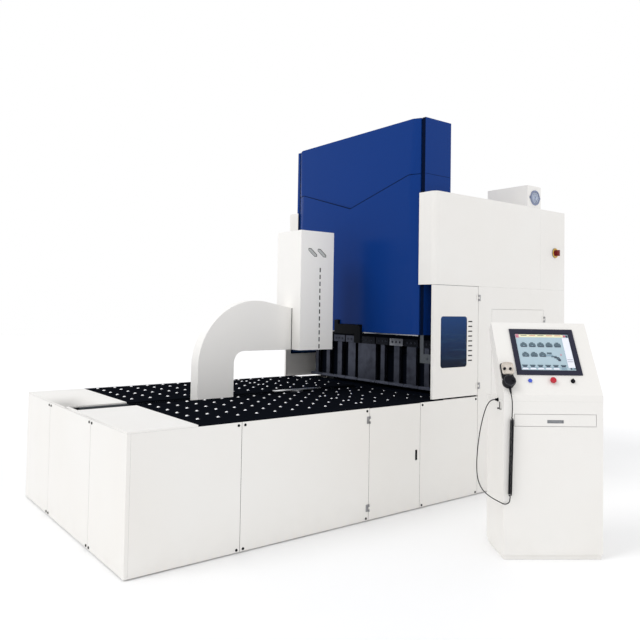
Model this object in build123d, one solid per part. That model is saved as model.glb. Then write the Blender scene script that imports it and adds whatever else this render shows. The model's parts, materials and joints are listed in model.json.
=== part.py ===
from build123d import *
import math
import os

# A panel bender: a loading table with steel balls between brush boards, a sheet manipulator on a
# C-shaped arm that runs in the table's slot, a bending cell behind it with its tools under a tall
# tower, and the operator's console, which stands beside the machine.
#
# Millimetres, +Z up, +X from the loading end towards the cell, +Y from the operator's side to the
# far side. The origin lies on the floor, under the middle of the bend line.

# Sheet covers
sheet = 3.0                     # thickness of the folded covers
fold = 25.0                     # depth of a cover's return flanges
cover_gap = 3.0                 # joint between neighbouring covers
floor_gap = 8.0                 # the covers clear the floor by this much

# Base
load_end = 3000.0               # bend line to the loading end
side_reach = 148.0              # covers of the base beyond the tower's side blocks
cover_top = 900.0               # floor to the top of the table
front_panel_length = 815.0      # side covers, from the loading end
middle_panel_length = 1175.0
service_door_width = 577.0
end_side_width = 649.0          # outer two of the three covers on the loading end

# Table
board = 12.0                    # thickness of the brush boards
lid_length = 482.0              # plain steel lids at the loading end
lid_slot = 200.0                # slot between the lids
slot_end = 30.0                 # the slot stops this far from the loading end
tool_table = 150.0              # steel table in front of the bend line
brush = 10.0                    # bristle strip along each side of the slot
brush_gap = 1.0                 # bristles to the arm
ball_radius = 15.0
ball_proud = 8.0                # balls stand this far out of the boards
ball_pitch = 160.0              # spacing of the balls, both ways
ball_inset = 98.0               # first row to the lids
near_ball_row = 118.0           # first row to the middle of the slot, operator's side
far_ball_row = 242.0            # the same on the far side
ball_rows = 6
ball_columns = 10

# Welded base frame
tube = 80.0                     # square section of its members
foot_height = 60.0              # levelling feet under the frame
foot_radius = 38.0
stud_radius = 12.0
carriage_rail_top = 640.0       # top of the two beams that carry the rails
rail_reach = 260.0              # the beams end this far before the bend line

# Manipulator
arm_thickness = 126.0
arm_back = 1980.0               # bend line to the column's outer edge, as parked in the photograph
arm_column = 343.0              # width of the column
arm_throat_top = 1290.0         # underside of the arm
arm_outer_radius = 565.0
arm_inner_radius = 100.0
arm_end_top = 1669.0            # top edge of the arm where it meets the head
arm_slope = 10.7                # fall of that edge towards the head, degrees
head_size = 380.0               # square head housing
head_back = 1034.0              # bend line to the housing's rear face
head_height = 1093.0
clamp_axis_back = 913.0         # bend line to the turning axis of the clamps
louvre_starts = (82.0, 189.0)   # rear face of the housing to its two slanted louvres
louvre_width = 34.0
louvre_lean = 67.0
louvre_drop = 161.0             # top of the housing to the louvres
louvre_height = 75.0
louvre_end = 21.0               # height of a louvre's short upright ends
dash_count = 12                 # short slots below them
dash_x = 218.0
dash_width = 7.0
dash_length = 34.0
dash_pitch = 64.0
dash_drop = 340.0
ram_size = 130.0
ram_wall = 12.0
guide_wall = 30.0
guide_bottom = 1400.0
guide_length = 240.0
ram_length = 700.0
slide_gap = 0.3                 # clearance of flat sliding faces
spindle_radius = 30.0
spindle_gap = 0.05              # running clearance, radial
foot_disc_radius = 95.0         # upper clamp foot
foot_disc = 30.0
clamp_bar_length = 525.0
clamp_bar_width = 64.0
clamp_bar = 6.0
clamp_bar_lift = 0.5            # bar over the tops of the balls
rail_spacing = 300.0
rail_width = 30.0
rail_height = 28.0
runner_length = 140.0
runner_width = 70.0
carriage_plate = 40.0
carriage_front = 600.0          # bend line to the carriage plate's front edge
carriage_width = 380.0
post_radius = 55.0
rack_pitch = 40.0
rack_depth = 14.0

# Bending cell
cell_reach = 286.0              # bend line to the front edge of the cell's sides
window_door_width = 604.0
rear_length = 1398.0            # rear cabinet
door_top = 1897.0               # top of the window doors
window_width = 350.0
window_height = 453.0
window_corner = 27.0
window_inset = 97.0             # window to the door's free edge
window_sill = 1167.0            # floor to the window's lower edge
vent_count = 9
vent_pitch = 44.0
vent_width = 57.0
vent_height = 11.0
vent_inset = 83.0               # vents to the hinge side
vent_bottom = 1222.0
pane = 5.0
upper_cover_top = 2719.0
upper_cover_reach = 273.0
upper_cover_front = 195.0       # width of an upper cover's front face
upper_cover_length = 1560.0
upper_cover_corner = 60.0
rear_box_top = 2711.0
roof_height = 21.0
plate = 40.0                    # steel side frames
sole = 40.0                     # base plate under them
throat_bottom = 600.0
throat_top = 1460.0
throat_depth = 450.0            # behind the bend line
throat_radius = 70.0
frame_reach = 240.0             # side frames in front of the bend line
frame_length = 1340.0
lower_beam_bottom = 300.0
tool_face = 905.0               # top of the lower tool, level with the sheet
lower_tool = 12.0
beam_web = 110.0                # box web of the lower beam, front to back
beam_wall = 20.0
gusset_pitch = 400.0
gusset_height = 300.0

# Tower
tower_reach = 285.0             # bend line to the front covers
tower_side_step = 54.0          # side blocks stand out beyond the front covers
tower_shell_width = 1940.0      # across the side blocks
tower_depth = 341.0             # side blocks, front to back
tower_block_reach = 251.0
tower_bottom = 1450.0
tower_top = 3402.0
tower_bevel = 71.0              # width of the front covers' bevelled sides
tower_seam_side = 2895.0        # the V-shaped joint of the front covers, at the sides
tower_seam_middle = 2669.0      # and at its point
tower_seam_flat = 50.0          # level stretch of the joint beside each bevel
tower_seam_gap = 5.0
crease = 14.0                   # the lower cover is folded out this much along its middle
cover_return = 45.0             # the covers' side flanges, back to the cross rails
cross_rail = 40.0
cross_rail_levels = (1900.0, 2400.0, 2900.0)
cross_rail_drop = 90.0          # the highest rail below the top
guide_width = 396.0             # black guide housing at the foot of the tower
guide_proud = 35.0
guide_top = 1516.0
guide_raised = 1557.0           # top of its raised far end
guide_raise_width = 59.0
guide_corner = 30.0
guide_leg_width = 89.0          # leg at its near end
guide_leg_depth = 30.0
guide_leg_bottom = 1341.0
guide_lip = 12.0

# Upper beam and tools
beam_thickness = 120.0
beam_bottom = 1392.0
beam_height = 300.0
beam_shoe = 160.0
tool_reach = 50.0               # front face of the upper tools, before the bend line
tool_foot_bottom = 930.0
tool_foot_height = 35.0
tool_column = 36.0              # depth of a tool's column
clamp_height = 70.0
clamp_depth = 58.0
clamp_hole = 9.0
tool_end_gap = 4.0              # last tool to the side frame
middle_tool = 264.0             # width of the tool in the middle
tool_gap = 3.0
near_columns = (56.0, 74.0, 120.0, 60.0)   # widths of the tool columns, outwards
far_columns = (115.0, 70.0, 57.0, 50.0)

# Blade holder
blade_depth = 40.0
blade_gap = 4.0                 # blades to the bend line
blade_opening = 46.0            # between the two blades' edges
holder_back = 420.0
holder_bottom = 600.0
holder_top = 1300.0
holder_throat = 280.0
holder_jaw_low = 780.0
holder_jaw_high = 1080.0
holder_radius = 80.0
holder_side_gap = 12.0          # holder and blades to the side frames
saddle_depth = 130.0

# Doors and fittings
hinge_radius = 6.0
hinge_height = 56.0
hinge_leaf = 22.0
hinge_pin = 3.0
hinge_gap = 1.0
service_hinges = (105.0, 795.0)     # floor to the hinges' middles
window_hinges = (986.0, 1791.0)
rear_hinges = (330.0, 1594.0)
rear_door_width = 831.0
rear_door_inset = 196.0         # door to the front edge of the rear cabinet
rear_door_bottom = 120.0
rear_door_top = 1690.0
gear_plate = (400.0, 1560.0)     # mounting plate behind the rear door, low and high edge
gear_rows = ((5, 1180.0, 1500.0), (6, 800.0, 1080.0), (4, 480.0, 700.0))
gear_depth = 90.0
gear_space = 14.0
latch_size = 22.0
latch_height = 84.0
latch_level = 454.0
latch_gap = 1.5
latch_pin = 2.0
latch_pin_up = 6.0              # pin to the lever's lower end
latch_inset = 34.0              # latch to the door's free edge
screw_radius = 7.0
screw_head = 3.0
screw_inset = 26.0
bracket_width = 92.0
bracket_height = 80.0
bracket_hole = 11.0
bracket_level = 1203.0
isolator_x = 1540.0
isolator_level = 2280.0
isolator_plate = 104.0
isolator_plate_depth = 6.0
isolator_grip = 60.0
isolator_proud = 48.0
top_box_start = 1064.0
top_box_length = 222.0
top_box_width = 492.0
top_box_height = 213.0
fan_radius = 62.0
fan_ring = 13.0
fan_proud = 9.0
fan_blades = 7
fan_hub = 20.0
fan_wheel_depth = 24.0

# Console, in its own frame: x along its front, y to its back
console_x = -807.6
console_y = -2250.8
console_turn = -35.6            # degrees about +Z
console_width = 689.0
console_depth = 386.0
console_sheet = 2.0
plinth_height = 30.0
plinth_inset = 8.0
pedestal_top = 1065.0
slant_foot = 1108.0             # floor to the lower edge of the slant
slant_top_y = 311.0
slant_top = 1594.0
head_back_y = 368.0
head_back_top = 1537.0
head_heel = 145.0               # foot of the head's back wall
drawer_inset = 72.0
drawer_width = 570.0
drawer_bottom = 895.0
drawer_height = 84.0
drawer_gap = 2.0
drawer_depth = 300.0
drawer_front = 12.0             # thickness of the drawer's front
handle_width = 114.0
handle_height = 22.0
handle_depth = 14.0
bezel_x = 118.0
bezel_up = 152.0                # up the slant
bezel_width = 462.0
bezel_height = 368.0
bezel_depth = 9.0
display_border = 35.0
display_depth = 4.0
button_up = 107.0               # centre line of the buttons, up the slant
lamp_x = 199.0
stop_x = 358.0
selector_x = 500.0
lamp_radius = 14.0
lamp_proud = 9.0
stop_radius = 21.0
stop_head = 14.0
stop_proud = 26.0
stem_radius = 10.0
stem_gap = 0.4
selector_radius = 15.0
selector_proud = 18.0
rest_gap = 0.3                  # parts that turn or press stay this far off the face
pendant_width = 84.0
pendant_x = 42.0
pendant_bottom = 46.0
pendant_length = 186.0
pendant_depth = 34.0
pendant_corner = 18.0
dial_radius = 43.0
dial_depth = 12.0
dial_up = 88.0
knob_radius = 9.0
knob_depth = 13.0
knob_spacing = 40.0
knob_up = 178.0
relief_radius = 9.0
relief_tip = 5.0
gland_radius = 9.0
gland_length = 20.0
gland_y = 130.0
gland_z = 1058.0
hook_y = 58.0
hook_top = 1053.0
hook_bottom = 1000.0
hook_wire = 5.0
hook_proud = 14.0
hook_stud_y = 117.0

# Console cord: lead, curly stretch and pendant lead, as points in the console's frame
lead_radius = 3.5
curl_radius = 14.0
lead_points = [(-20, 130, 1058), (-44, 130, 1058), (-70, 128, 1035), (-93, 124, 992), (-118, 117, 908),
               (-139, 108, 812), (-153, 98, 714), (-161, 88, 618), (-159, 77, 530), (-136, 64, 462),
               (-98, 44.5, 423), (-58, 25, 399), (-21, 6, 383), (3, -6, 373), (23, -15.5, 378),
               (37.55, -19.85, 393.3), (38, -20, 414)]
curl_points = [(38, -20, 414), (44, -22, 690), (50, -20, 966)]
pendant_lead_points = [(50, -20, 966), (50.75, -19.75, 1000.5), (50.5, -22.5, 1040), (48, -26, 1072),
                       (44, -23.585, 1099.99), (44, -12.7, 1117)]

# Places worked out from the sizes above
half_width = tower_shell_width / 2 + side_reach
tower_width = tower_shell_width - 2 * tower_side_step
x_load = -load_end
x_seam_1 = x_load + front_panel_length
x_seam_2 = x_seam_1 + middle_panel_length
x_seam_3 = x_seam_2 + service_door_width
x_cell = -cell_reach
x_hinge = x_cell + window_door_width
x_rear = x_hinge + rear_length
x_table = x_load + lid_length
z_cover = cover_top - board
slot_half = arm_thickness / 2 + brush_gap + brush
rail_outer = half_width - fold
z_floor_rail = foot_height + tube
z_carriage_cross = carriage_rail_top - tube
frame_inner = tower_shell_width / 2 - sheet - plate
frame_outer = tower_shell_width / 2 - sheet
half_holder = frame_inner - holder_side_gap
tool_pitch = (frame_inner - tool_end_gap - middle_tool / 2 - tool_gap) / len(near_columns)
z_tool_column = tool_foot_bottom + tool_foot_height
z_clamp = beam_bottom - clamp_height
clamp_x = -clamp_axis_back
z_bar = cover_top + ball_proud + clamp_bar_lift
z_plate = carriage_rail_top + rail_height + slide_gap + 22.0
z_foot = arm_throat_top + 4.0
x_cross = -tower_block_reach + cover_return
near_rear_wall = x_hinge + rear_door_inset


def block(x, y, z):
    """A box between two values along each axis."""
    middle = [(a + b) / 2 for a, b in (x, y, z)]
    return Pos(*middle) * Box(x[1] - x[0], y[1] - y[0], z[1] - z[0])


def tray(x, y, z, open_side, wall=sheet):
    """A folded sheet cover: a box that is open on one side."""
    inner = {"x": [x[0] + wall, x[1] - wall], "y": [y[0] + wall, y[1] - wall], "z": [z[0] + wall, z[1] - wall]}
    end = 1 if open_side[0] == "+" else 0
    inner[open_side[1]][end] += 2 * wall if end else -2 * wall
    return block(x, y, z) - block(inner["x"], inner["y"], inner["z"])


def square_tube(x, y, z, along, wall):
    """A square tube whose open ends look along one axis."""
    inner = {"x": [x[0] + wall, x[1] - wall], "y": [y[0] + wall, y[1] - wall], "z": [z[0] + wall, z[1] - wall]}
    inner[along] = {"x": x, "y": y, "z": z}[along]
    return block(x, y, z) - block(inner["x"], inner["y"], inner["z"])


def side_profile(points, y):
    """A plate with its outline in the X-Z plane, between two values of Y."""
    face = make_face(Polyline(*points, close=True))
    return Pos(0, (y[0] + y[1]) / 2, 0) * extrude(Plane.XZ * face, amount=(y[1] - y[0]) / 2, both=True)


def prism(radius, height, sides=24):
    """An upright prism of many sides, standing on z = 0."""
    return extrude(RegularPolygon(radius, sides), amount=height)


def far(shape):
    """The same piece on the far side."""
    return mirror(shape, about=Plane.XZ)


def both_sides(shape):
    return [shape, far(shape)]


def near_y(depth=fold):
    """The Y range of a cover on the operator's side."""
    return (-half_width, -half_width + depth)


# Base frame

def frame_stations():
    """Where the cross members stand along the base."""
    return [x_load + fold, x_seam_1 - tube / 2, x_seam_2 - tube / 2, x_seam_3 - tube / 2]


def levelling_foot(x, y, height=foot_height):
    pad = Pos(x, y, 8) * Cylinder(foot_radius, 16)
    stud = Pos(x, y, (16 + height) / 2) * Cylinder(stud_radius, height - 16)
    return pad + stud


def base_frame():
    tubes = []
    stations = frame_stations()
    x_ends = (stations[0], stations[-1] + tube)
    outer = (-rail_outer, -rail_outer + tube)
    slot_rail = (-slot_half - tube / 2, -slot_half)
    upper = (z_cover - tube, z_cover)
    for y in (outer,):
        tubes += both_sides(block(x_ends, y, (foot_height, z_floor_rail)))
        tubes += both_sides(block(x_ends, y, upper))
    tubes += both_sides(block((stations[0] + tube, x_ends[1]), slot_rail, upper))
    rail_y = (-rail_spacing / 2 - tube / 2, -rail_spacing / 2 + tube / 2)
    tubes += both_sides(block((x_ends[0], -rail_reach), rail_y, (z_carriage_cross, carriage_rail_top)))
    inner_post = (-carriage_width / 2 - 2 * tube, -carriage_width / 2 - tube)
    for x in stations:
        along = (x, x + tube)
        post = block(along, outer, (z_floor_rail, z_cover - tube))
        tubes += both_sides(post)
        middle = (outer[1], -outer[1])
        tubes.append(block(along, middle, (foot_height, z_floor_rail)))
        tubes.append(block(along, middle, (z_carriage_cross - tube, z_carriage_cross)))
        tubes += both_sides(block(along, inner_post, (z_carriage_cross, z_cover - tube)))
        rib_end = slot_rail[0] if x != stations[0] else inner_post[1]
        tubes += both_sides(block(along, (outer[1], rib_end), upper))
    return tubes


def frame_feet():
    feet = []
    for x in frame_stations():
        feet += both_sides(levelling_foot(x + tube / 2, -rail_outer + tube / 2))
    for x in rear_posts():
        feet += both_sides(levelling_foot(x + tube / 2, -rail_outer + tube / 2))
    return feet


def rear_posts():
    """Where the rear cabinet's posts stand."""
    return [x_hinge + fold, x_rear - fold - tube]


def rear_frame():
    tubes = []
    outer = (-rail_outer, -rail_outer + tube)
    for x in rear_posts():
        tubes += both_sides(block((x, x + tube), outer, (foot_height, door_top)))
    back = rear_posts()[1]
    for z in (foot_height, door_top - tube):
        tubes.append(block((back, back + tube), (outer[1], -outer[1]), (z, z + tube)))
    return tubes


# Base covers

def end_panels():
    side = half_width - end_side_width
    spans = [(-half_width, -side - cover_gap / 2), (-side + cover_gap / 2, side - cover_gap / 2),
             (side + cover_gap / 2, half_width)]
    return [tray((x_load, x_load + fold), span, (floor_gap, z_cover), "+x") for span in spans]


def end_covers():
    """Two steel lids with a turned-down rim, and the strip that closes the slot at its end."""
    lid = tray((x_load, x_table), (-half_width, -lid_slot / 2), (z_cover, cover_top), "-z")
    strip = block((x_load, x_load + slot_end), (-lid_slot / 2, lid_slot / 2), (z_cover, cover_top))
    return both_sides(lid) + [strip]


def side_panel(x0, x1):
    return tray((x0, x1), near_y(), (floor_gap, z_cover), "+y")


def near_panels():
    return [side_panel(x_load + fold, x_seam_1 - cover_gap / 2),
            side_panel(x_seam_1 + cover_gap / 2, x_seam_2 - cover_gap / 2),
            side_panel(x_seam_3 + cover_gap / 2, x_hinge - cover_gap / 2)]


def far_panels():
    spans = [(x_load + fold, x_seam_1), (x_seam_1, x_seam_3), (x_seam_3, x_hinge)]
    return [far(side_panel(a + (cover_gap / 2 if i else 0), b - cover_gap / 2)) for i, (a, b) in enumerate(spans)]


# Table

def brush_tables():
    """The boards, and the bristle strips that close the slot on both sides of the arm."""
    board_plate = block((x_table, -tool_table), (-half_width, -slot_half), (z_cover, cover_top))
    strip = block((x_table, -tool_table), (-slot_half, -slot_half + brush), (z_cover - board, cover_top - 1))
    return both_sides(board_plate) + both_sides(strip)


def ball_places():
    """Rows run along X: a square grid, then closer columns on the boards by the tools."""
    places = []
    first = x_table + ball_inset
    for row in range(ball_rows):
        columns = [first + ball_pitch * i for i in range(ball_columns)]
        last = columns[-1]
        if row < 2:
            columns += [last + ball_pitch * i for i in (1, 2, 3)]
        else:
            columns += [last + ball_pitch * 0.35 + 0.94 * ball_pitch * i for i in (0, 1, 2)]
        columns += [-tool_table - 1.5 * ball_pitch, -tool_table - 0.4 * ball_pitch]
        for x in columns:
            places.append((x, -near_ball_row - ball_pitch * row))
            places.append((x, far_ball_row + ball_pitch * row))
    return places


def transfer_balls():
    """Each ball as the faceted cap that stands out of its cup."""
    cap = extrude(RegularPolygon(ball_radius, 6), amount=ball_proud, taper=40)
    return [Pos(x, y, cover_top) * cap for x, y in ball_places()]


# Feed rails and manipulator

def feed_rails():
    x = (frame_stations()[0] + 10, -rail_reach - 10)
    y = (-rail_spacing / 2 - rail_width / 2, -rail_spacing / 2 + rail_width / 2)
    return both_sides(block(x, y, (carriage_rail_top, carriage_rail_top + rail_height)))


def feed_rack():
    """A toothed bar beside the near rail, on the same tube."""
    start, end = frame_stations()[0] + 10, -rail_reach - 10
    teeth = int((end - start) // rack_pitch)
    base, tip = carriage_rail_top, carriage_rail_top + rail_height - 6
    points = [(start, base)]
    for i in range(teeth):
        x = start + i * rack_pitch
        points += [(x, tip - rack_depth), (x + 8, tip), (x + 20, tip), (x + 28, tip - rack_depth)]
    points += [(start + teeth * rack_pitch, tip - rack_depth), (start + teeth * rack_pitch, base)]
    outer = -rail_spacing / 2 + rail_width / 2
    return side_profile(points, (outer + 1, outer + 24))


def feed_carriage():
    back, front = -arm_back - 50, -carriage_front
    half = carriage_width / 2
    body = block((back, front), (-half, half), (z_plate, z_plate + carriage_plate))
    rail_y = rail_spacing / 2
    groove = rail_width / 2 + slide_gap
    for x in (back, (back + front - runner_length) / 2, front - runner_length):
        runner = block((x, x + runner_length), (-rail_y - runner_width / 2, -rail_y + runner_width / 2 - 24),
                       (carriage_rail_top + 6, z_plate))
        runner -= block((x - 1, x + runner_length + 1), (-rail_y - groove, -rail_y + groove),
                        (carriage_rail_top, carriage_rail_top + rail_height + slide_gap))
        body += runner + far(runner)
    top = z_plate + carriage_plate
    post_height = cover_top - 2 - top
    post = Pos(clamp_x, 0, top + post_height / 2) * Cylinder(post_radius, post_height)
    bore = Pos(clamp_x, 0, top + 10 + post_height / 2) * Cylinder(spindle_radius + spindle_gap, post_height)
    return body + post - bore


def c_arm():
    """One welded plate: column, bend and nose, with the ram's guide on the nose's end."""
    foot = z_plate + carriage_plate
    back, front = -arm_back, -arm_back + arm_column
    nose = -head_back + sheet
    corner = arm_end_top + math.tan(math.radians(arm_slope)) * (arm_back - head_back)
    end_top = arm_end_top - math.tan(math.radians(arm_slope)) * sheet
    points = [(back, foot), (back, corner), (nose, end_top), (nose, arm_throat_top),
              (front, arm_throat_top), (front, foot)]
    outline = make_face(Polyline(*points, close=True))
    shoulder = outline.vertices().sort_by_distance((back, corner))[0]
    outline = fillet(shoulder, arm_outer_radius)
    armpit = outline.vertices().sort_by_distance((front, arm_throat_top))[0]
    outline = fillet(armpit, arm_inner_radius)
    arm = extrude(Plane.XZ * outline, amount=arm_thickness / 2, both=True)
    flange = block((back - 30, front + 30), (-carriage_width / 3, carriage_width / 3), (foot, foot + 25))
    half = ram_size / 2 + slide_gap
    outer = half + guide_wall
    guide_z = (guide_bottom, guide_bottom + guide_length)
    guide = block((clamp_x - outer, clamp_x + outer), (-outer, outer), guide_z)
    neck = block((nose, clamp_x), (-arm_thickness / 2, arm_thickness / 2), guide_z)
    bore = block((clamp_x - half, clamp_x + half), (-half, half), (guide_bottom - 1, guide_z[1] + 1))
    return arm + flange + guide + neck - bore


def head_housing():
    """The folded housing over the ram, open below, with two louvres and a line of slots."""
    x = (-head_back, -head_back + head_size)
    z = (arm_throat_top, arm_throat_top + head_height)
    half = head_size / 2
    shell = tray(x, (-half, half), z, "-z")
    half_arm = arm_thickness / 2 + slide_gap
    shell -= block((x[0] - 1, x[0] + sheet + 1), (-half_arm, half_arm),
                   (z[0] - 1, arm_end_top + slide_gap))
    wall = (-half - 1, -half + sheet + 1)
    for start in louvre_starts:
        left, right = x[0] + start, x[0] + start + louvre_width
        top = z[1] - louvre_drop
        bottom, end = top - louvre_height, left + louvre_width + louvre_lean
        louvre = [(left, top), (right, top), (end, bottom + louvre_end), (end, bottom),
                  (end - louvre_width, bottom), (left, top - louvre_end)]
        shell -= side_profile(louvre, wall)
    for i in range(dash_count):
        top = z[1] - dash_drop - dash_pitch * i
        shell -= block((x[0] + dash_x, x[0] + dash_x + dash_width), wall, (top - dash_length, top))
    return shell


def clamp_ram():
    half = ram_size / 2
    bottom = z_foot + foot_disc + 20
    tube_part = square_tube((clamp_x - half, clamp_x + half), (-half, half), (bottom, bottom + ram_length), "z",
                            ram_wall)
    inner = half - ram_wall
    end_plate = block((clamp_x - inner, clamp_x + inner), (-inner, inner), (bottom, bottom + 30))
    bore = Pos(clamp_x, 0, bottom + 15) * Cylinder(spindle_radius + spindle_gap, 40)
    return tube_part + end_plate - bore


def clamp_foot():
    disc = Pos(clamp_x, 0, z_foot + foot_disc / 2) * Cylinder(foot_disc_radius, foot_disc)
    length = 20 + 30 + slide_gap
    spindle = Pos(clamp_x, 0, z_foot + foot_disc + length / 2) * Cylinder(spindle_radius, length)
    collar = Pos(clamp_x, 0, z_foot + foot_disc + length + 5) * Cylinder(spindle_radius + 6, 10)
    return disc + spindle + collar


def lower_clamp():
    half = clamp_bar_length / 2
    width = clamp_bar_width / 2
    bar = block((clamp_x - half, clamp_x + half), (-width, width), (z_bar, z_bar + clamp_bar))
    bar = chamfer(bar.edges().filter_by(Axis.Z), 8)
    length = z_bar - (z_plate + carriage_plate + 10 + slide_gap) - 2
    spindle = Pos(clamp_x, 0, z_bar - length / 2) * Cylinder(spindle_radius, length)
    return bar + spindle


# Press frame and tools

def side_frame():
    """A thick plate with the throat that lets the sheet and the tools through."""
    x0, x1 = -frame_reach, -frame_reach + frame_length
    x_tower = -tower_block_reach + tower_depth
    top, back_top = tower_top - 20, rear_box_top - roof_height
    points = [(x0, sole), (x1, sole), (x1, back_top), (x_tower - sheet, back_top), (x_tower - sheet, top),
              (x0, top), (x0, throat_top), (throat_depth, throat_top), (throat_depth, throat_bottom),
              (x0, throat_bottom)]
    outline = make_face(Polyline(*points, close=True))
    for z in (throat_top, throat_bottom):
        corner = outline.vertices().sort_by_distance((throat_depth, z))[0]
        outline = fillet(corner, throat_radius)
    width = extrude(Plane.XZ * outline, amount=plate / 2, both=True)
    return Pos(0, -(frame_inner + frame_outer) / 2, 0) * width


def side_frames():
    return both_sides(side_frame()) + both_sides(guard_bracket())


def guard_bracket():
    """A small drilled plate on the side frame, seen in the mouth of the cell."""
    x = -frame_reach
    y0, y1 = -frame_outer - bracket_width - 5, -frame_outer + plate
    z0, z1 = bracket_level, bracket_level + bracket_height
    arm = block((x - 6, x), (y0, y1), (z0, z1))
    arm -= Pos(x - 3, y0 + bracket_width / 2, (z0 + z1) / 2) * Rot(0, 90, 0) * Cylinder(bracket_hole, 12)
    leg = block((x - 6, x), (y1 - plate, y1), (z1, throat_top + 60))
    return arm + leg


def sole_plate():
    x0 = -frame_reach
    return block((x0, x0 + frame_length), (-frame_outer, frame_outer), (0, sole))


def lower_beam():
    """A deep box beam between the side frames, with a wide top flange for the lower tool."""
    z = (lower_beam_bottom, tool_face - lower_tool)
    web_x = (-tool_table, -tool_table + beam_web)
    web = square_tube(web_x, (-frame_inner, frame_inner), z, "y", beam_wall)
    flange = block((-tool_table, -2), (-frame_outer, frame_outer), (z[1] - 40, z[1]))
    places = [gusset_pitch * (i - 1.5) for i in range(4)]
    gussets = [block((web_x[1], -20), (y - 10, y + 10), (z[1] - gusset_height, z[1] - 40)) for y in places]
    return web + flange + gussets


def lower_tool_bar():
    z = (tool_face - lower_tool, tool_face)
    bar = block((-tool_table + 1, 0), (-frame_outer, frame_outer), z)
    return chamfer(bar.edges().filter_by(Axis.Y).sort_by(Axis.X)[-2:].sort_by(Axis.Z)[0], 6)


def tool_places():
    """Middle, width of the foot and width of the column of each upper tool."""
    places = [(0.0, middle_tool, middle_tool)]
    for side, columns in ((-1, near_columns), (1, far_columns)):
        for i, column in enumerate(columns):
            y = middle_tool / 2 + tool_gap + tool_pitch * (i + 0.5)
            places.append((side * y, tool_pitch - tool_gap, column))
    return places


def tool_segments():
    """Each tool hangs from its clamp: a column, and a foot that reaches the bend line."""
    face = -tool_reach
    z0, z1 = tool_foot_bottom, z_tool_column
    foot = [(face - 10, z0 + 6), (face - 10, z0 + 20), (face, z1), (face + tool_column, z1),
            (-4, z0 + 12), (0, z0 + 5), (0, z0), (face + 26, z0)]
    tools = []
    for y, wide, column in tool_places():
        shoe = side_profile(foot, (y - wide / 2, y + wide / 2))
        shank = block((face, face + tool_column), (y - column / 2, y + column / 2), (z1, z_clamp))
        tools.append(shoe + shank)
    return tools


def tool_clamps():
    clamps = []
    for y, wide, _ in tool_places():
        face = -tool_reach - 8
        clamp = block((face, face + clamp_depth), (y - wide / 2 + 6, y + wide / 2 - 6), (z_clamp, beam_bottom))
        for step in (-1, 0, 1):
            hole = Pos(face, y + step * wide * 0.26, (z_clamp + beam_bottom) / 2)
            clamp -= hole * Rot(0, 90, 0) * extrude(RegularPolygon(clamp_hole, 10), amount=14, both=True)
        clamps.append(clamp)
    return clamps


def upper_beam():
    """The pressing beam, guided by shoes between the side frames."""
    half = beam_thickness / 2
    inner = frame_inner - 12
    z = (beam_bottom, beam_bottom + beam_height)
    beam = block((-half, half), (-inner, inner), z)
    beam -= block((-half - 1, -half + 25), (-inner + 60, inner - 60), (z[0] + 70, z[1] - 40))
    shoe = block((-half, half), (-frame_inner + slide_gap, -inner), (z[0] + 90, z[0] + 90 + beam_shoe))
    return beam + shoe + far(shoe)


def blade_holder():
    """The C-shaped holder, with its throat towards the bend line."""
    x0, x1 = blade_gap + blade_depth, holder_back
    points = [(x0, holder_bottom), (x1, holder_bottom), (x1, holder_top), (x0, holder_top),
              (x0, holder_jaw_high), (holder_throat, holder_jaw_high), (holder_throat, holder_jaw_low),
              (x0, holder_jaw_low)]
    outline = make_face(Polyline(*points, close=True))
    for z in (holder_jaw_high, holder_jaw_low):
        corner = outline.vertices().sort_by_distance((holder_throat, z))[0]
        outline = fillet(corner, holder_radius)
    return extrude(Plane.XZ * outline, amount=half_holder, both=True)


def bending_blades():
    """Two bars on the holder's jaws, each tapered to its working edge."""
    middle = (tool_face + tool_foot_bottom) / 2
    low, high = middle - blade_opening / 2, middle + blade_opening / 2
    x0, x1 = blade_gap, blade_gap + blade_depth
    lower = [(x0, holder_bottom + 60), (x1, holder_bottom + 60), (x1, holder_jaw_low + 30),
             (x0 + 8, low), (x0, low)]
    upper = [(x0, holder_top - 60), (x1, holder_top - 60), (x1, holder_jaw_high - 30), (x0 + 8, high), (x0, high)]
    y = (-half_holder, half_holder)
    return [side_profile(lower, y), side_profile(upper, y)]


def blade_saddle():
    """Carries the holder and moves it towards the bend line and back."""
    x0 = holder_back + slide_gap
    x = (x0, x0 + saddle_depth)
    half = frame_inner - slide_gap
    z = (holder_bottom - 60, holder_top + 60)
    saddle = block(x, (-half, half), z)
    return saddle - block((x0 + 40, x[1] + 1), (-half + 80, half - 80), (z[0] + 80, z[1] - 80))


# Tower

def tower_shell():
    """Side blocks, back and top of the tower, open below and in front."""
    x = (-tower_block_reach, -tower_block_reach + tower_depth)
    half = tower_shell_width / 2
    z = (tower_bottom, tower_top - 2)
    shell = tray(x, (-half, half), z, "-z")
    mouth = half - 40
    shell -= block((x[0] - 1, x_cross), (-mouth, mouth), (z[0] - 1, z[1] + 1))
    frame_slot = block((x[1] - sheet - 1, x[1] + 1), (-frame_outer, -frame_inner + slide_gap),
                       (z[0] - 1, rear_box_top - roof_height + slide_gap))
    shell = shell - frame_slot - far(frame_slot)
    rails = []
    for level in (tower_bottom + cross_rail, *cross_rail_levels, tower_top - cross_rail_drop):
        rails.append(block((x_cross, x_cross + cross_rail), (-frame_inner, frame_inner), (level, level + cross_rail)))
    return [shell] + rails


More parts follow.
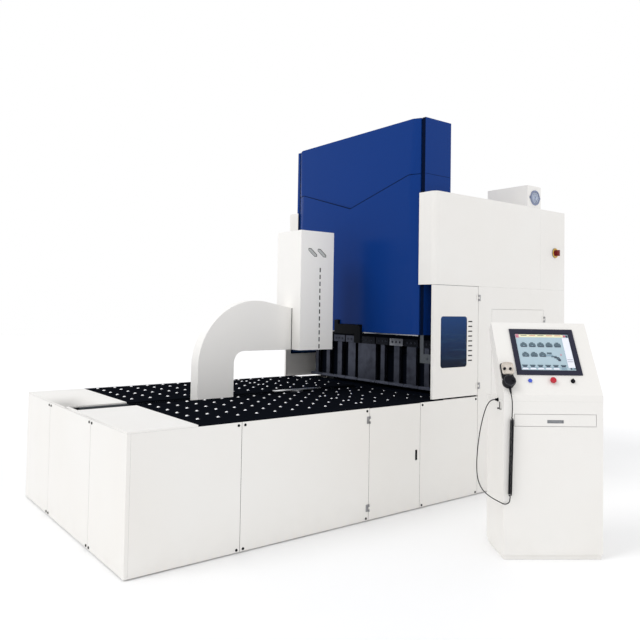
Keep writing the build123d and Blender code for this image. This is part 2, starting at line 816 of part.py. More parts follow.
def cover_section(proud):
    """Plan of a front cover: face, bevelled sides and the flanges that reach the cross rails."""
    side, bevel = tower_width / 2, tower_width / 2 - tower_bevel
    face, back = -tower_reach, -tower_block_reach
    outer = [(x_cross, -side), (back, -side), (face, -bevel), (face - proud, 0), (face, bevel), (back, side),
             (x_cross, side)]
    inner_side, inner_bevel = side - sheet, bevel - sheet / 2
    inner = [(x_cross, inner_side), (back + sheet / 2, inner_side), (face + sheet, inner_bevel),
             (face + sheet - proud, 0), (face + sheet, -inner_bevel), (back + sheet / 2, -inner_side),
             (x_cross, -inner_side)]
    return make_face(Polyline(*outer, *inner, close=True))


def seam_cutter(above):
    """Everything on one side of the V-shaped joint, to cut the front covers to it."""
    side = tower_width / 2 + 10
    shoulder = tower_width / 2 - tower_bevel - tower_seam_flat
    shift = tower_seam_gap / 2 if above else -tower_seam_gap / 2
    level, point = tower_seam_side + shift, tower_seam_middle + shift
    limit = tower_top + 50 if above else tower_bottom - 50
    points = [(-side, level), (-shoulder, level), (0, point), (shoulder, level), (side, level), (side, limit),
              (-side, limit)]
    face = make_face(Polyline(*points, close=True))
    return extrude(Plane.YZ * face, amount=2 * tower_reach, both=True)


def tower_cover_upper():
    cover = Pos(0, 0, tower_seam_middle - 20) * extrude(cover_section(0), amount=tower_top - tower_seam_middle + 20)
    side, bevel = tower_width / 2, tower_width / 2 - tower_bevel
    plan = [(x_cross, -side), (-tower_block_reach, -side), (-tower_reach, -bevel), (-tower_reach, bevel),
            (-tower_block_reach, side), (x_cross, side)]
    lid = Pos(0, 0, tower_top - sheet) * extrude(make_face(Polyline(*plan, close=True)), amount=sheet)
    return (cover & seam_cutter(True)) + lid


def tower_cover_lower():
    """The lower cover, with its crease, its bottom lip and the notch for the guide housing."""
    height = tower_seam_side - tower_bottom + 20
    cover = Pos(0, 0, tower_bottom) * extrude(cover_section(crease), amount=height)
    cover = cover & seam_cutter(False)
    bevel = tower_width / 2 - tower_bevel
    lip = block((-tower_reach + sheet, -tower_reach + 50), (-bevel + 6, bevel - 6), (tower_bottom, tower_bottom + sheet))
    x, half = (-tower_reach - crease - 5, x_cross - 1), guide_width / 2
    notch = block(x, (-half - 3, half + 3), (tower_bottom - 1, guide_top + 3))
    notch += block(x, (half - guide_raise_width - 3, half + 3), (guide_top, guide_raised + 3))
    return cover + lip - notch


def centre_guide():
    """The black guide housing across the tower's foot: raised at its far end, with a leg at the
    operator's end and a bright lip under the rest."""
    x0, half = -tower_reach - guide_proud, guide_width / 2
    bottom = tower_bottom - 15
    body = block((x0, x_cross), (-half, half), (bottom, guide_top))
    near_top = body.edges().filter_by(Axis.X).sort_by(Axis.Z)[-2:].sort_by(Axis.Y)[0]
    body = chamfer(near_top, guide_corner)
    body += block((x0, x_cross), (half - guide_raise_width, half), (guide_top, guide_raised))
    leg_end = -half + guide_leg_width
    body += block((x0, x0 + guide_leg_depth), (-half, leg_end), (guide_leg_bottom, bottom))
    return body + block((x0 - 4, x_cross), (leg_end, half + 4), (bottom - guide_lip, bottom))


# Cell covers

def upper_cover():
    x = (-upper_cover_reach, -upper_cover_reach + upper_cover_length)
    y = (-half_width, -half_width + upper_cover_front)
    z = (door_top, upper_cover_top)
    outer = block(x, y, z)
    edge = outer.edges().filter_by(Axis.Z).sort_by(Axis.X)[:2].sort_by(Axis.Y)[0]
    outer = fillet(edge, upper_cover_corner)
    inner = block((x[0] + sheet, x[1] + 1), (y[0] + sheet, y[1] + 1), (z[0] - 1, z[1] - sheet))
    edge = inner.edges().filter_by(Axis.Z).sort_by(Axis.X)[:2].sort_by(Axis.Y)[0]
    inner = fillet(edge, upper_cover_corner - sheet)
    tower_side = tower_shell_width / 2 + cover_gap
    clear = block((x[0] + sheet, x[1] + 1), (-tower_side, 0), (z[0] - 1, z[1] + 1))
    sill = block((x_hinge + fold, x[1]), (y[0] + sheet, y[0] + fold), (z[0], z[0] + sheet))
    return outer - inner - clear + sill


def rear_box():
    """The full-width box at the back, and the roof sheet between the two upper covers."""
    x_front = -upper_cover_reach + upper_cover_length
    box = tray((x_front, x_rear), (-half_width, half_width), (door_top, rear_box_top), "-z")
    half = tower_shell_width / 2
    x_tower = -tower_block_reach + tower_depth
    roof = tray((x_tower + cover_gap, x_front), (-half, half), (rear_box_top - roof_height, rear_box_top), "+z")
    return [box, roof]


def rear_panels():
    z = (floor_gap, door_top)
    side = tray((x_hinge + cover_gap / 2, x_rear), near_y(), z, "+y")
    x0 = near_rear_wall
    opening = block((x0, x0 + rear_door_width), (-half_width - 1, -half_width + fold + 1),
                    (rear_door_bottom, rear_door_top))
    back = tray((x_rear - fold, x_rear), (-rail_outer, rail_outer), z, "-x")
    return [side - opening, far(side), back]


# Doors and their hinges

def hinge(x, z, door_ahead, y=-half_width):
    """Fixed and moving half of a hinge whose pin stands at the joint, outside the covers."""
    side = 1 if door_ahead else -1
    axis_y = y - hinge_radius
    third = hinge_height / 3
    reach = hinge_radius + hinge_leaf
    z0 = z - hinge_height / 2

    def leaf(direction, low, high):
        x_near, x_far = sorted((x + direction * (hinge_radius + 0.6), x + direction * reach))
        leaf_plate = block((x_near, x_far), (y - sheet, y), (z0, z0 + hinge_height))
        bridge_x = sorted((x, x + direction * reach))
        return leaf_plate + block(bridge_x, (y - sheet, y), (low, high))

    knuckle = Cylinder(hinge_radius, third - hinge_gap)
    fixed = leaf(-side, z0, z0 + third - hinge_gap) + leaf(-side, z0 + 2 * third + hinge_gap, z0 + hinge_height)
    for middle in (z0 + (third - hinge_gap) / 2, z0 + hinge_height - (third - hinge_gap) / 2):
        fixed += Pos(x, axis_y, middle) * knuckle
    fixed += Pos(x, axis_y, z) * Cylinder(hinge_pin, third + 2 * hinge_gap + 2)
    moving = leaf(side, z0 + third, z0 + 2 * third)
    moving += Pos(x, axis_y, z) * Cylinder(hinge_radius, third)
    moving -= Pos(x, axis_y, z) * Cylinder(hinge_pin + spindle_gap, third + 2)
    return fixed, moving


def door_hinges():
    halves = [hinge(x_seam_2, z, True)[0] for z in service_hinges]
    for z in window_hinges:
        halves += both_sides(hinge(x_hinge, z, False)[0])
    halves += [hinge(near_rear_wall + rear_door_width, z, False)[0] for z in rear_hinges]
    return halves


def service_door():
    """The door in the base, with the recess for its flush latch."""
    x = (x_seam_2 + cover_gap / 2, x_seam_3 - cover_gap / 2)
    door = tray(x, near_y(), (floor_gap, z_cover - cover_gap), "+y")
    door -= block(*latch_space(latch_gap)) + latch_axis(latch_pin + slide_gap, latch_size + 10)
    return [door] + [hinge(x_seam_2, z, True)[1] for z in service_hinges]


def latch_space(gap):
    x1 = x_seam_3 - latch_inset
    return ((x1 - latch_size - gap, x1 + gap), (-half_width - 1, -half_width + fold / 2),
            (latch_level - latch_height / 2 - gap, latch_level + latch_height / 2 + gap))


def latch_axis(radius, length):
    x, _, z = latch_space(0.0)
    place = Pos((x[0] + x[1]) / 2, -half_width + 2.25, z[0] + latch_pin_up)
    return place * Rot(0, 90, 0) * Cylinder(radius, length)


def door_latch():
    """A flush lever that is pulled out about a pin near its lower end."""
    x, _, z = latch_space(0.0)
    lever = block(x, (-half_width - 1.5, -half_width + 6), z)
    lever = chamfer(lever.edges().filter_by(Axis.X).sort_by(Axis.Y)[:2], 1.2)
    return lever - latch_axis(latch_pin + spindle_gap, latch_size + 10)


def latch_frame():
    """The cup behind the lever, and the lever's pin."""
    x, _, z = latch_space(latch_gap)
    wall = 2.0
    depth = (-half_width + sheet, -half_width + fold / 2 + 4)
    cup = tray((x[0] - wall, x[1] + wall), depth, (z[0] - wall, z[1] + wall), "-y", wall)
    return cup + latch_axis(latch_pin, x[1] - x[0] + wall)


def window_door():
    """Side door of the cell, with its rounded window and a stack of vent slots."""
    x = (x_cell, x_hinge - cover_gap / 2)
    door = tray(x, near_y(), (cover_top + cover_gap, door_top - cover_gap), "+y")
    x0 = x_cell + window_inset
    opening = Pos(x0 + window_width / 2, -half_width, window_sill + window_height / 2) * Rot(90, 0, 0) * extrude(
        RectangleRounded(window_width, window_height, window_corner), amount=2 * sheet, both=True)
    door -= opening
    x1 = x_hinge - vent_inset
    for i in range(vent_count):
        z = vent_bottom + vent_pitch * i
        door -= block((x1 - vent_width, x1), (-half_width - 1, -half_width + sheet + 1), (z - vent_height / 2, z + vent_height / 2))
    return [door] + [hinge(x_hinge, z, False)[1] for z in window_hinges]


def window_pane():
    x0 = x_cell + window_inset - 15
    y0 = -half_width + sheet
    return block((x0, x0 + window_width + 30), (y0, y0 + pane),
                 (window_sill - 15, window_sill + window_height + 15))


def rear_door():
    x0, gap = near_rear_wall, cover_gap / 2
    door = tray((x0 + gap, x0 + rear_door_width - gap), near_y(), (rear_door_bottom + gap, rear_door_top - gap), "+y")
    return [door] + [hinge(x0 + rear_door_width, z, False)[1] for z in rear_hinges]


def control_gear():
    """Mounting plate and drives behind the rear door."""
    y = -frame_outer
    x0, x1 = near_rear_wall + 20, -frame_reach + frame_length - 20
    gear = block((x0, x1), (y - sheet, y), gear_plate)
    for count, low, high in gear_rows:
        step = (x1 - x0 - 40) / count
        for i in range(count):
            x = x0 + 20 + step * i
            gear += block((x, x + step - gear_space), (y - gear_depth, y - sheet), (low, high))
    return gear


def cover_screws():
    """Button-head screws beside the joints of the base covers."""
    half = screw_inset
    heads = []
    near = Rot(90, 0, 0) * prism(screw_radius, screw_head, 8)
    levels = (z_cover - 22, floor_gap + 17)
    side_x = [x_seam_1 - half, x_seam_1 + half, x_seam_2 - half, x_seam_3 + half, x_hinge - half]
    for x in side_x:
        for z in levels:
            heads.append(Pos(x, -half_width, z) * near)
            if x != side_x[2]:
                heads.append(Pos(x, half_width, z) * Rot(180, 0, 0) * near)
    end = Rot(0, -90, 0) * prism(screw_radius, screw_head, 8)
    side = half_width - end_side_width
    for y in (-side - half, -side + half, side - half, side + half):
        for z in levels:
            heads.append(Pos(x_load, y, z) * end)
    return heads


# Switch and fan on the cell

def isolator_base():
    place = Pos(isolator_x, -half_width - isolator_plate_depth / 2, isolator_level) * Rot(90, 0, 0)
    return place * Cylinder(isolator_plate / 2, isolator_plate_depth)


def isolator_handle():
    y = -half_width - isolator_plate_depth - rest_gap
    collar = Pos(isolator_x, y, isolator_level) * Rot(90, 0, 0) * prism(isolator_grip / 2, 14)
    half = isolator_grip / 2
    grip = block((isolator_x - 9, isolator_x + 9), (y - isolator_proud, y - 14), (isolator_level - half, isolator_level + half))
    return collar + grip


def fan_place():
    return top_box_start + top_box_length * 0.54, upper_cover_top + top_box_height * 0.45


def top_box():
    """The box on the roof that holds the cabinet fan."""
    x = (top_box_start, top_box_start + top_box_length)
    y = (-half_width, -half_width + top_box_width)
    z = (upper_cover_top, upper_cover_top + top_box_height)
    box = tray(x, y, z, "-z")
    fx, fz = fan_place()
    return box - Pos(fx, -half_width, fz) * Rot(90, 0, 0) * Cylinder(fan_radius, 4 * sheet)


def fan_guard():
    """Ring, three rings of wire as one pressed grille, and two ears."""
    fx, fz = fan_place()
    ring = prism(fan_radius + fan_ring, fan_proud) - Pos(0, 0, -1) * prism(fan_radius - 2, fan_proud + 2)
    for radius in (20.0, 40.0):
        ring += prism(radius + 2, 3) - Pos(0, 0, -1) * prism(radius - 2, 5)
    for angle in (45, 135):
        ring += Rot(0, 0, angle) * Pos(0, 0, 1.5) * (Box(2 * fan_radius - 2, 5, 3) - Box(34, 6, 4))
    ear = Box(2 * (fan_radius + fan_ring) + 26, 24, 4)
    ear = Pos(0, 0, 2) * (ear - Pos(0, 0, 0) * Box(2 * fan_radius + 12, 30, 10))
    return Pos(fx, -half_width, fz) * Rot(90, 0, 0) * (ring + ear)


def fan_motor():
    """Motor and the strut that carries it, behind the wheel."""
    fx, fz = fan_place()
    y = -half_width + sheet
    strut = block((fx - 12, fx + 12), (y + fan_wheel_depth + 12, y + fan_wheel_depth + 18),
                  (upper_cover_top, upper_cover_top + top_box_height - sheet))
    motor = Rot(-90, 0, 0) * prism(24, 40)
    shaft = Rot(90, 0, 0) * Cylinder(5, 24)
    return strut + Pos(fx, y + fan_wheel_depth + 18, fz) * motor + Pos(fx, y + fan_wheel_depth, fz) * shaft


def fan_wheel():
    fx, fz = fan_place()
    hub = prism(fan_hub, fan_wheel_depth)
    for i in range(fan_blades):
        blade = Pos((fan_hub + fan_radius - 6) / 2, 0, fan_wheel_depth / 2) * Rot(32, 0, 0) * Box(fan_radius - 6 - fan_hub + 4, 26, 3)
        hub += Rot(0, 0, i * 360 / fan_blades) * blade
    wheel = Pos(fx, -half_width + sheet + 1 + fan_wheel_depth, fz) * Rot(90, 0, 0) * hub
    return wheel - Pos(fx, -half_width + 20, fz) * Rot(90, 0, 0) * Cylinder(5 + spindle_gap, 80)


# Console

def console_place():
    return Pos(console_x, console_y, 0) * Rot(0, 0, console_turn)


def slant_plane():
    """Lies on the slant: x along it, y up it, z out of it."""
    rise = math.atan2(slant_top - slant_foot, slant_top_y)
    return Plane(origin=(0, 0, slant_foot), x_dir=(1, 0, 0), z_dir=(0, -math.sin(rise), math.cos(rise)))


def on_slant(x, up):
    return slant_plane().location * Pos(x, up, 0)


def console_plinth():
    inset = plinth_inset
    return block((inset, console_width - inset), (inset, console_depth - inset), (0, plinth_height))


def console_body():
    """The pedestal: a closed sheet housing with the drawer's opening in its front."""
    x, y, z = (0, console_width), (0, console_depth), (plinth_height, pedestal_top)
    wall = console_sheet
    shell = block(x, y, z) - block((wall, x[1] - wall), (wall, y[1] - wall), (z[0] + wall, z[1] - wall))
    x0 = drawer_inset
    shell -= block((x0, x0 + drawer_width), (-1, wall + 1), (drawer_bottom, drawer_bottom + drawer_height))
    runner_z = drawer_bottom + 12
    runner_y, level = (drawer_front + 2, drawer_depth + 20), (runner_z - 10, runner_z - rest_gap)
    runner = block((wall, x0 + drawer_gap + 8), runner_y, level)
    other = block((x0 + drawer_width - drawer_gap - 8, x[1] - wall), runner_y, level)
    return [shell + runner + other]


def drawer():
    x = (drawer_inset + drawer_gap, drawer_inset + drawer_width - drawer_gap)
    z = (drawer_bottom + drawer_gap, drawer_bottom + drawer_height - drawer_gap)
    front = block(x, (0, drawer_front), z)
    middle_x, middle_z = (x[0] + x[1]) / 2, (z[0] + z[1]) / 2 - 8
    front -= block((middle_x - handle_width / 2, middle_x + handle_width / 2), (-1, handle_depth - 4),
                   (middle_z - handle_height / 2, middle_z + handle_height / 2))
    tray_part = tray((x[0] + 6, x[1] - 6), (drawer_front, drawer_depth), (drawer_bottom + 12, z[1] - 6), "+z", 2)
    return front + tray_part


def console_head():
    """The slanted head: a closed wedge of sheet, pierced for the buttons."""
    wall = console_sheet
    outer = [(0, pedestal_top), (0, slant_foot), (slant_top_y, slant_top), (head_back_y, head_back_top),
             (head_heel, pedestal_top)]
    face = make_face(Polyline(*outer, close=True))
    inside = offset(face, amount=-wall, kind=Kind.INTERSECTION)
    head = extrude(Plane.YZ * face, amount=console_width)
    head -= Pos(wall, 0, 0) * extrude(Plane.YZ * inside, amount=console_width - 2 * wall)
    for x in (lamp_x, stop_x, selector_x):
        head -= on_slant(x, button_up) * Pos(0, 0, -10) * prism(stem_radius + stem_gap, 20)
    return head


def screen_bezel():
    place = on_slant(bezel_x + bezel_width / 2, bezel_up + bezel_height / 2)
    frame = Pos(0, 0, bezel_depth / 2) * Box(bezel_width, bezel_height, bezel_depth)
    inner = (bezel_width - 2 * display_border, bezel_height - 2 * display_border)
    frame -= Pos(0, 0, bezel_depth / 2) * Box(inner[0], inner[1], bezel_depth + 2)
    edges = frame.edges().group_by(Axis.Z)[-1].sort_by(SortBy.LENGTH)[-4:]
    return place * chamfer(edges, 3)


def screen_display():
    place = on_slant(bezel_x + bezel_width / 2, bezel_up + bezel_height / 2)
    gap = 2 * display_border + 2 * rest_gap
    return place * Pos(0, 0, display_depth / 2) * Box(bezel_width - gap, bezel_height - gap, display_depth)


def push_button(x, radius, proud, head):
    """A cap and its stem through the slant."""
    cap = Pos(0, 0, proud - head) * prism(radius, head)
    stem = Pos(0, 0, -14) * prism(stem_radius, proud - head + 14)
    return on_slant(x, button_up) * (cap + stem)


def stop_button():
    """A mushroom cap on a waisted neck."""
    top = Pos(0, 0, stop_proud - stop_head) * prism(stop_radius, stop_head - 4)
    crown = Pos(0, 0, stop_proud - 4) * extrude(RegularPolygon(stop_radius, 24), amount=4, taper=45)
    stem = Pos(0, 0, -14) * prism(stem_radius, stop_proud - stop_head + 14)
    return on_slant(stop_x, button_up) * (top + crown + stem)


def selector():
    base = Pos(0, 0, rest_gap) * prism(selector_radius, 8)
    lever = Pos(0, 0, 8 + rest_gap + (selector_proud - 8) / 2) * Box(9, 2 * selector_radius - 4, selector_proud - 8)
    stem = Pos(0, 0, -14) * prism(stem_radius, 14 + rest_gap)
    return on_slant(selector_x, button_up) * (base + lever + stem)


def pendant_body():
    """The hand-held pendant, parked on the slant, with its tapered strain relief."""
    middle = pendant_bottom + pendant_length / 2
    body = extrude(RectangleRounded(pendant_width, pendant_length, pendant_corner), amount=pendant_depth)
    body = Pos(0, 0, rest_gap) * body
    tip = Vector(*pendant_lead_points[-1])
    plane = slant_plane()
    local = plane.to_local_coords(tip)
    start = pendant_bottom + 4
    length = start - local.Y
    cone = Rot(90, 0, 0) * Cone(relief_radius, relief_tip, length, align=(Align.CENTER, Align.CENTER, Align.MIN))
    relief = plane.location * Pos(local.X, start, local.Z) * cone
    return on_slant(pendant_x, middle) * body + relief


def pendant_dial():
    place = on_slant(pendant_x, dial_up) * Pos(0, 0, rest_gap + pendant_depth + rest_gap)
    finger = Pos(dial_radius * 0.62, 0, dial_depth) * prism(8, 10, 12)
    return place * (prism(dial_radius, dial_depth, 36) + finger)


def pendant_knob(side):
    place = on_slant(pendant_x + side * knob_spacing / 2, knob_up) * Pos(0, 0, 2 * rest_gap + pendant_depth)
    pointer = Pos(0, 0, knob_depth) * Box(4, 2 * knob_radius - 3, 3)
    return place * (prism(knob_radius, knob_depth) + pointer)


def console_fittings():
    """Cable gland, and the hook and stud on the console's side."""
    gland = Pos(-gland_length / 2, gland_y, gland_z) * Rot(0, 90, 0) * Cylinder(gland_radius, gland_length)
    nut = Pos(0, gland_y, gland_z) * Rot(0, -90, 0) * prism(gland_radius + 4, 7, 6)
    plate_y = (hook_y - hook_wire / 2, hook_y + hook_wire / 2)
    hook = block((-hook_proud, -hook_proud + hook_wire), plate_y, (hook_bottom, hook_top))
    hook += block((-hook_proud, 0), plate_y, (hook_bottom, hook_bottom + hook_wire))
    stud = Pos(0, hook_stud_y, hook_bottom) * Rot(0, -90, 0) * prism(6, 9, 12)
    return [gland + nut, hook, stud]


# Cords

def corner_radii(points):
    """As large an arc as the two runs beside each corner allow."""
    radii = []
    for a, b, c in zip(points, points[1:], points[2:]):
        before, after = Vector(*b) - Vector(*a), Vector(*c) - Vector(*b)
        half_turn = math.radians(before.get_angle(after)) / 2
        radii.append(0.45 * min(before.length, after.length) / math.tan(half_turn))
    return radii


def cord_tube(name, points, radius):
    radii = corner_radii(points)
    path = FilletPolyline(*points, radius=radii)
    start = Plane(origin=points[0], z_dir=Vector(*points[1]) - Vector(*points[0]))
    tube_solid = sweep(start * Circle(radius), path=path)
    expected = math.pi * radius ** 2 * path.length
    print(name, "radii", [round(r) for r in radii], "length", round(path.length),
          "volume / expected", round(tube_solid.volume / expected, 4))
    return tube_solid


def console_parts():
    place = console_place()
    local = {
        "console_body": console_body() + [console_plinth()],
        "console_head": [console_head()],
        "console_fittings": console_fittings(),
        "console_drawer": [drawer()],
        "screen_bezel": [screen_bezel()],
        "screen_display": [screen_display()],
        "start_button": [push_button(lamp_x, lamp_radius, lamp_proud, 6.0)],
        "stop_button": [stop_button()],
        "mode_selector": [selector()],
        "pendant_body": [pendant_body()],
        "pendant_dial": [pendant_dial()],
        "pendant_axis_knob": [pendant_knob(-1)],
        "pendant_rate_knob": [pendant_knob(1)],
        "console_lead": [cord_tube("console_lead", lead_points, lead_radius)],
        "curly_section": [cord_tube("curly_section", curl_points, curl_radius)],
        "pendant_lead": [cord_tube("pendant_lead", pendant_lead_points, lead_radius)],
    }
    return {name: [place * shape for shape in shapes] for name, shapes in local.items()}


def machine_parts():
    return {
        "base_frame": base_frame() + rear_frame() + frame_feet(),
        "end_panels": end_panels(),
        "end_covers": end_covers(),
        "near_panels": near_panels(),
        "far_panels": far_panels(),
        "brush_tables": brush_tables(),
        "transfer_balls": transfer_balls(),
        "feed_rails": feed_rails() + [feed_rack()],
        "feed_carriage": [feed_carriage()],
        "c_arm": [c_arm()],
        "head_housing": [head_housing()],
        "clamp_ram": [clamp_ram()],
        "clamp_foot": [clamp_foot()],
        "lower_clamp": [lower_clamp()],
        "sole_plate": [sole_plate()],
        "side_frames": side_frames(),
        "lower_beam": [lower_beam(), lower_tool_bar()],
        "upper_beam": [upper_beam()],
        "tool_clamps": tool_clamps(),
        "tool_segments": tool_segments(),
        "blade_holder": [blade_holder()] + bending_blades(),
        "blade_saddle": [blade_saddle()],
        "tower_shell": tower_shell(),
        "tower_cover_upper": [tower_cover_upper()],
        "tower_cover_lower": [tower_cover_lower()],
        "centre_guide": [centre_guide()],
        "upper_covers": both_sides(upper_cover()),
        "rear_box": rear_box(),
        "rear_panels": rear_panels(),
        "control_gear": [control_gear()],
        "door_hinges": door_hinges(),
        "cover_screws": cover_screws(),
        "service_door": service_door() + [latch_frame()],
        "door_latch": [door_latch()],
        "window_door_near": window_door(),
        "window_door_far": [far(piece) for piece in window_door()],
        "window_pane_near": [window_pane()],
        "window_pane_far": [far(window_pane())],
        "rear_door": rear_door(),
        "isolator_base": [isolator_base()],
        "isolator_handle": [isolator_handle()],
        "top_box": [top_box(), fan_motor()],
        "fan_guard": [fan_guard()],
        "fan_wheel": [fan_wheel()],
    }


def write_parts(parts):
    os.makedirs("parts", exist_ok=True)
    for name, shapes in parts.items():
        solids = [solid for shape in shapes for solid in shape.solids()]
        piece = solids[0] if len(solids) == 1 else Compound(solids)
        export_step(piece, f"parts/{name}.step")
    print(len(parts), "nodes written")


parts = machine_parts() | console_parts()
write_parts(parts)
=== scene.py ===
# %% [markdown]
# # Dressing a panel bender
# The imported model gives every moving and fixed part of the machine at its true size. This script
# keeps those places and adds what a drawing office leaves out: eased edges, paint, bristles, polished
# balls, screws, the picture on the screen and the curly cord. All lengths are metres, +X runs from
# the loading end to the cell, +Y from the operator to the far side, and +Z up.

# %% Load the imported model
import json
import math

import bmesh
import bpy
import numpy as np
from mathutils import Matrix, Vector

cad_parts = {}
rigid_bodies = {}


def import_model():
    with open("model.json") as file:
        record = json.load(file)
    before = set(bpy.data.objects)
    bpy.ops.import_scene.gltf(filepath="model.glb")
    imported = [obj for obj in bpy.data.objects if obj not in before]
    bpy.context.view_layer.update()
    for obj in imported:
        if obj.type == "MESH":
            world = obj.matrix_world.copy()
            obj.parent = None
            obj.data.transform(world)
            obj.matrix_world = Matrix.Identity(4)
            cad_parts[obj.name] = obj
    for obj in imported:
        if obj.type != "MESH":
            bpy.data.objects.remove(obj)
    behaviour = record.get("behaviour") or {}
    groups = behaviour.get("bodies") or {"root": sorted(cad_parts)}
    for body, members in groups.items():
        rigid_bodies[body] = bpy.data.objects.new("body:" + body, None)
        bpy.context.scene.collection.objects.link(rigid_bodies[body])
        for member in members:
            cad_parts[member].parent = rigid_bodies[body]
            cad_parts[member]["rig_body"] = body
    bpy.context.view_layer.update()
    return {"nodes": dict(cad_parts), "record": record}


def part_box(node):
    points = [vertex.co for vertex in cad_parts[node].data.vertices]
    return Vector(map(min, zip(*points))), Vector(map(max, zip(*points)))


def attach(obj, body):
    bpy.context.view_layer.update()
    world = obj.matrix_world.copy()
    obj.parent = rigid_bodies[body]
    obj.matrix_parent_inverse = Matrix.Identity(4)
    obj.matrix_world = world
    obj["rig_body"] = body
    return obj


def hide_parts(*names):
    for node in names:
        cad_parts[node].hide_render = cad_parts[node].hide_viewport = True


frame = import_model()
nodes = frame["nodes"]
slot_of = {part["node"]: part["material_slot"] for part in frame["record"]["subparts"]}
print("loaded", len(nodes), "nodes")

# %% [markdown]
# ## The camera
# The photographer stood a little in front of the loading end, at eye height, and looked slightly up.
# The lens and the small shift come from fitting the machine's long edges to the picture.

# %% Place the camera
EYE = Vector((-4.60023, -5.08429, 1.68753))
HEADING, TILT, ROLL = (math.radians(a) for a in (51.9338, 1.9603, 0.9363))


def add_camera():
    ahead = Vector((math.cos(TILT) * math.cos(HEADING), math.cos(TILT) * math.sin(HEADING), math.sin(TILT)))
    level = Vector((math.sin(HEADING), -math.cos(HEADING), 0))
    above = level.cross(ahead)
    right = math.cos(ROLL) * level + math.sin(ROLL) * above
    up = right.cross(ahead)
    bpy.ops.object.camera_add()
    camera = bpy.context.object
    camera.matrix_world = Matrix.Translation(EYE) @ Matrix((right, up, -ahead)).transposed().to_4x4()
    camera.data.lens, camera.data.sensor_width = 37.585, 36
    camera.data.shift_x, camera.data.shift_y = -0.00596, -0.0566
    bpy.context.scene.camera = camera
    return camera


print("camera at", [round(v, 2) for v in add_camera().location])

# %% [markdown]
# ## Helpers for modelling by hand
# An operator works on everything that is selected, so each step starts by selecting one object only.
# A finished piece keeps its place in its mesh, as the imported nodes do, so its object is put back at
# the origin.

# %% Select, finish and join
def only(*pieces):
    """Selects these objects and nothing else."""
    bpy.ops.object.select_all(action="DESELECT")
    for piece in pieces:
        piece.select_set(True)
    bpy.context.view_layer.objects.active = pieces[0]


def settle(piece, name, body, slot, *materials):
    """Names a piece, puts its place into its mesh, gives it its paint and lets it ride on a body."""
    only(piece)
    bpy.ops.object.transform_apply(location=True, rotation=True, scale=True)
    piece.name = piece.data.name = name
    if materials:
        piece.data.materials.clear()
        for material in materials:
            piece.data.materials.append(material)
    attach(piece, body)
    return piece


def apply_modifier(piece, kind, **settings):
    only(piece)
    modifier = piece.modifiers.new(kind.lower(), kind)
    for key, value in settings.items():
        setattr(modifier, key, value)
    bpy.ops.object.modifier_apply(modifier=modifier.name)


def start_edit(piece, kind, wanted):
    """Enters edit mode with only the wanted faces ("polygons") or "edges" selected."""
    bpy.ops.object.mode_set(mode="EDIT")
    bpy.ops.mesh.select_all(action="DESELECT")
    bpy.ops.object.mode_set(mode="OBJECT")
    for part in getattr(piece.data, kind):
        part.select = wanted(part)
    bpy.ops.object.mode_set(mode="EDIT")


def end_edit():
    bpy.ops.object.mode_set(mode="OBJECT")


def faces_up(face):
    return face.normal.z > 0.9


def block(size, place=(0, 0, 0), bevel=0.0, segments=1):
    """A box of this size round a place, its edges eased where a bevel is given."""
    bpy.ops.mesh.primitive_cube_add(size=1, location=place)
    piece = bpy.context.object
    piece.scale = size
    bpy.ops.object.transform_apply(location=True, rotation=True, scale=True)
    if bevel:
        apply_modifier(piece, "BEVEL", width=bevel, segments=segments)
    return piece


def rise(piece, edge):
    """How far an edge climbs."""
    a, b = (piece.data.vertices[v].co for v in edge.vertices)
    return abs(a.z - b.z)


def joined(pieces):
    """One object of several."""
    only(*pieces)
    bpy.ops.object.join()
    return bpy.context.object


def copies(model, places):
    """Copies of a model, each with its own mesh, joined into one object; the model itself goes."""
    source = model.data
    corners = np.array([(*v.co, 1) for v in source.vertices]).T
    points = np.concatenate([(np.array(place) @ corners)[:3].T for place in places])
    polygons = [tuple(face.vertices) for face in source.polygons]
    step = len(source.vertices)
    data = bpy.data.meshes.new(model.name)
    data.from_pydata(points.tolist(), [], [tuple(v + step * i for v in polygon)
                                           for i in range(len(places)) for polygon in polygons])
    for key in ("material_index", "use_smooth"):
        data.polygons.foreach_set(key, [getattr(face, key) for face in source.polygons] * len(places))
    for material in source.materials:
        data.materials.append(material)
    result = bpy.data.objects.new(model.name, data)
    bpy.context.scene.collection.objects.link(result)
    bpy.data.objects.remove(model)
    return result


# %% [markdown]
# ## Paint, steel and plastic
# What several finishes share is built once as a node group: a slow drift of tone, the fine skin of a
# sprayed coat, painted shade in joints, corners and recesses, dust that gathers low down, and the grain
# of rolled or ground steel. The shader itself stays in each material, so that its plain numbers sit on its
# own sockets.

# %% Shared effects as node groups
def new_group(name, inputs, outputs):
    tree = bpy.data.node_groups.new(name, "ShaderNodeTree")
    for label, kind, default in inputs:
        socket = tree.interface.new_socket(name=label, in_out="INPUT", socket_type=kind)
        socket.default_value = default
    for label, kind in outputs:
        tree.interface.new_socket(name=label, in_out="OUTPUT", socket_type=kind)
    return tree, tree.nodes.new("NodeGroupInput"), tree.nodes.new("NodeGroupOutput")


def add_node(tree, kind, **settings):
    """A node with its settings, and its input values where a key names a socket."""
    node = tree.nodes.new("ShaderNode" + kind)
    for key, value in settings.items():
        if key in node.inputs:
            node.inputs[key].default_value = value
        else:
            setattr(node, key, value)
    return node


def noise(tree, vector, scale, detail=2.0, stretch=None):
    """Noise over Object coordinates, stretched where a grain runs one way."""
    if stretch:
        mapping = add_node(tree, "Mapping", Scale=stretch)
        tree.links.new(vector, mapping.inputs["Vector"])
        vector = mapping.outputs["Vector"]
    node = add_node(tree, "TexNoise", Scale=scale, Detail=detail)
    tree.links.new(vector, node.inputs["Vector"])
    return node.outputs["Fac"]


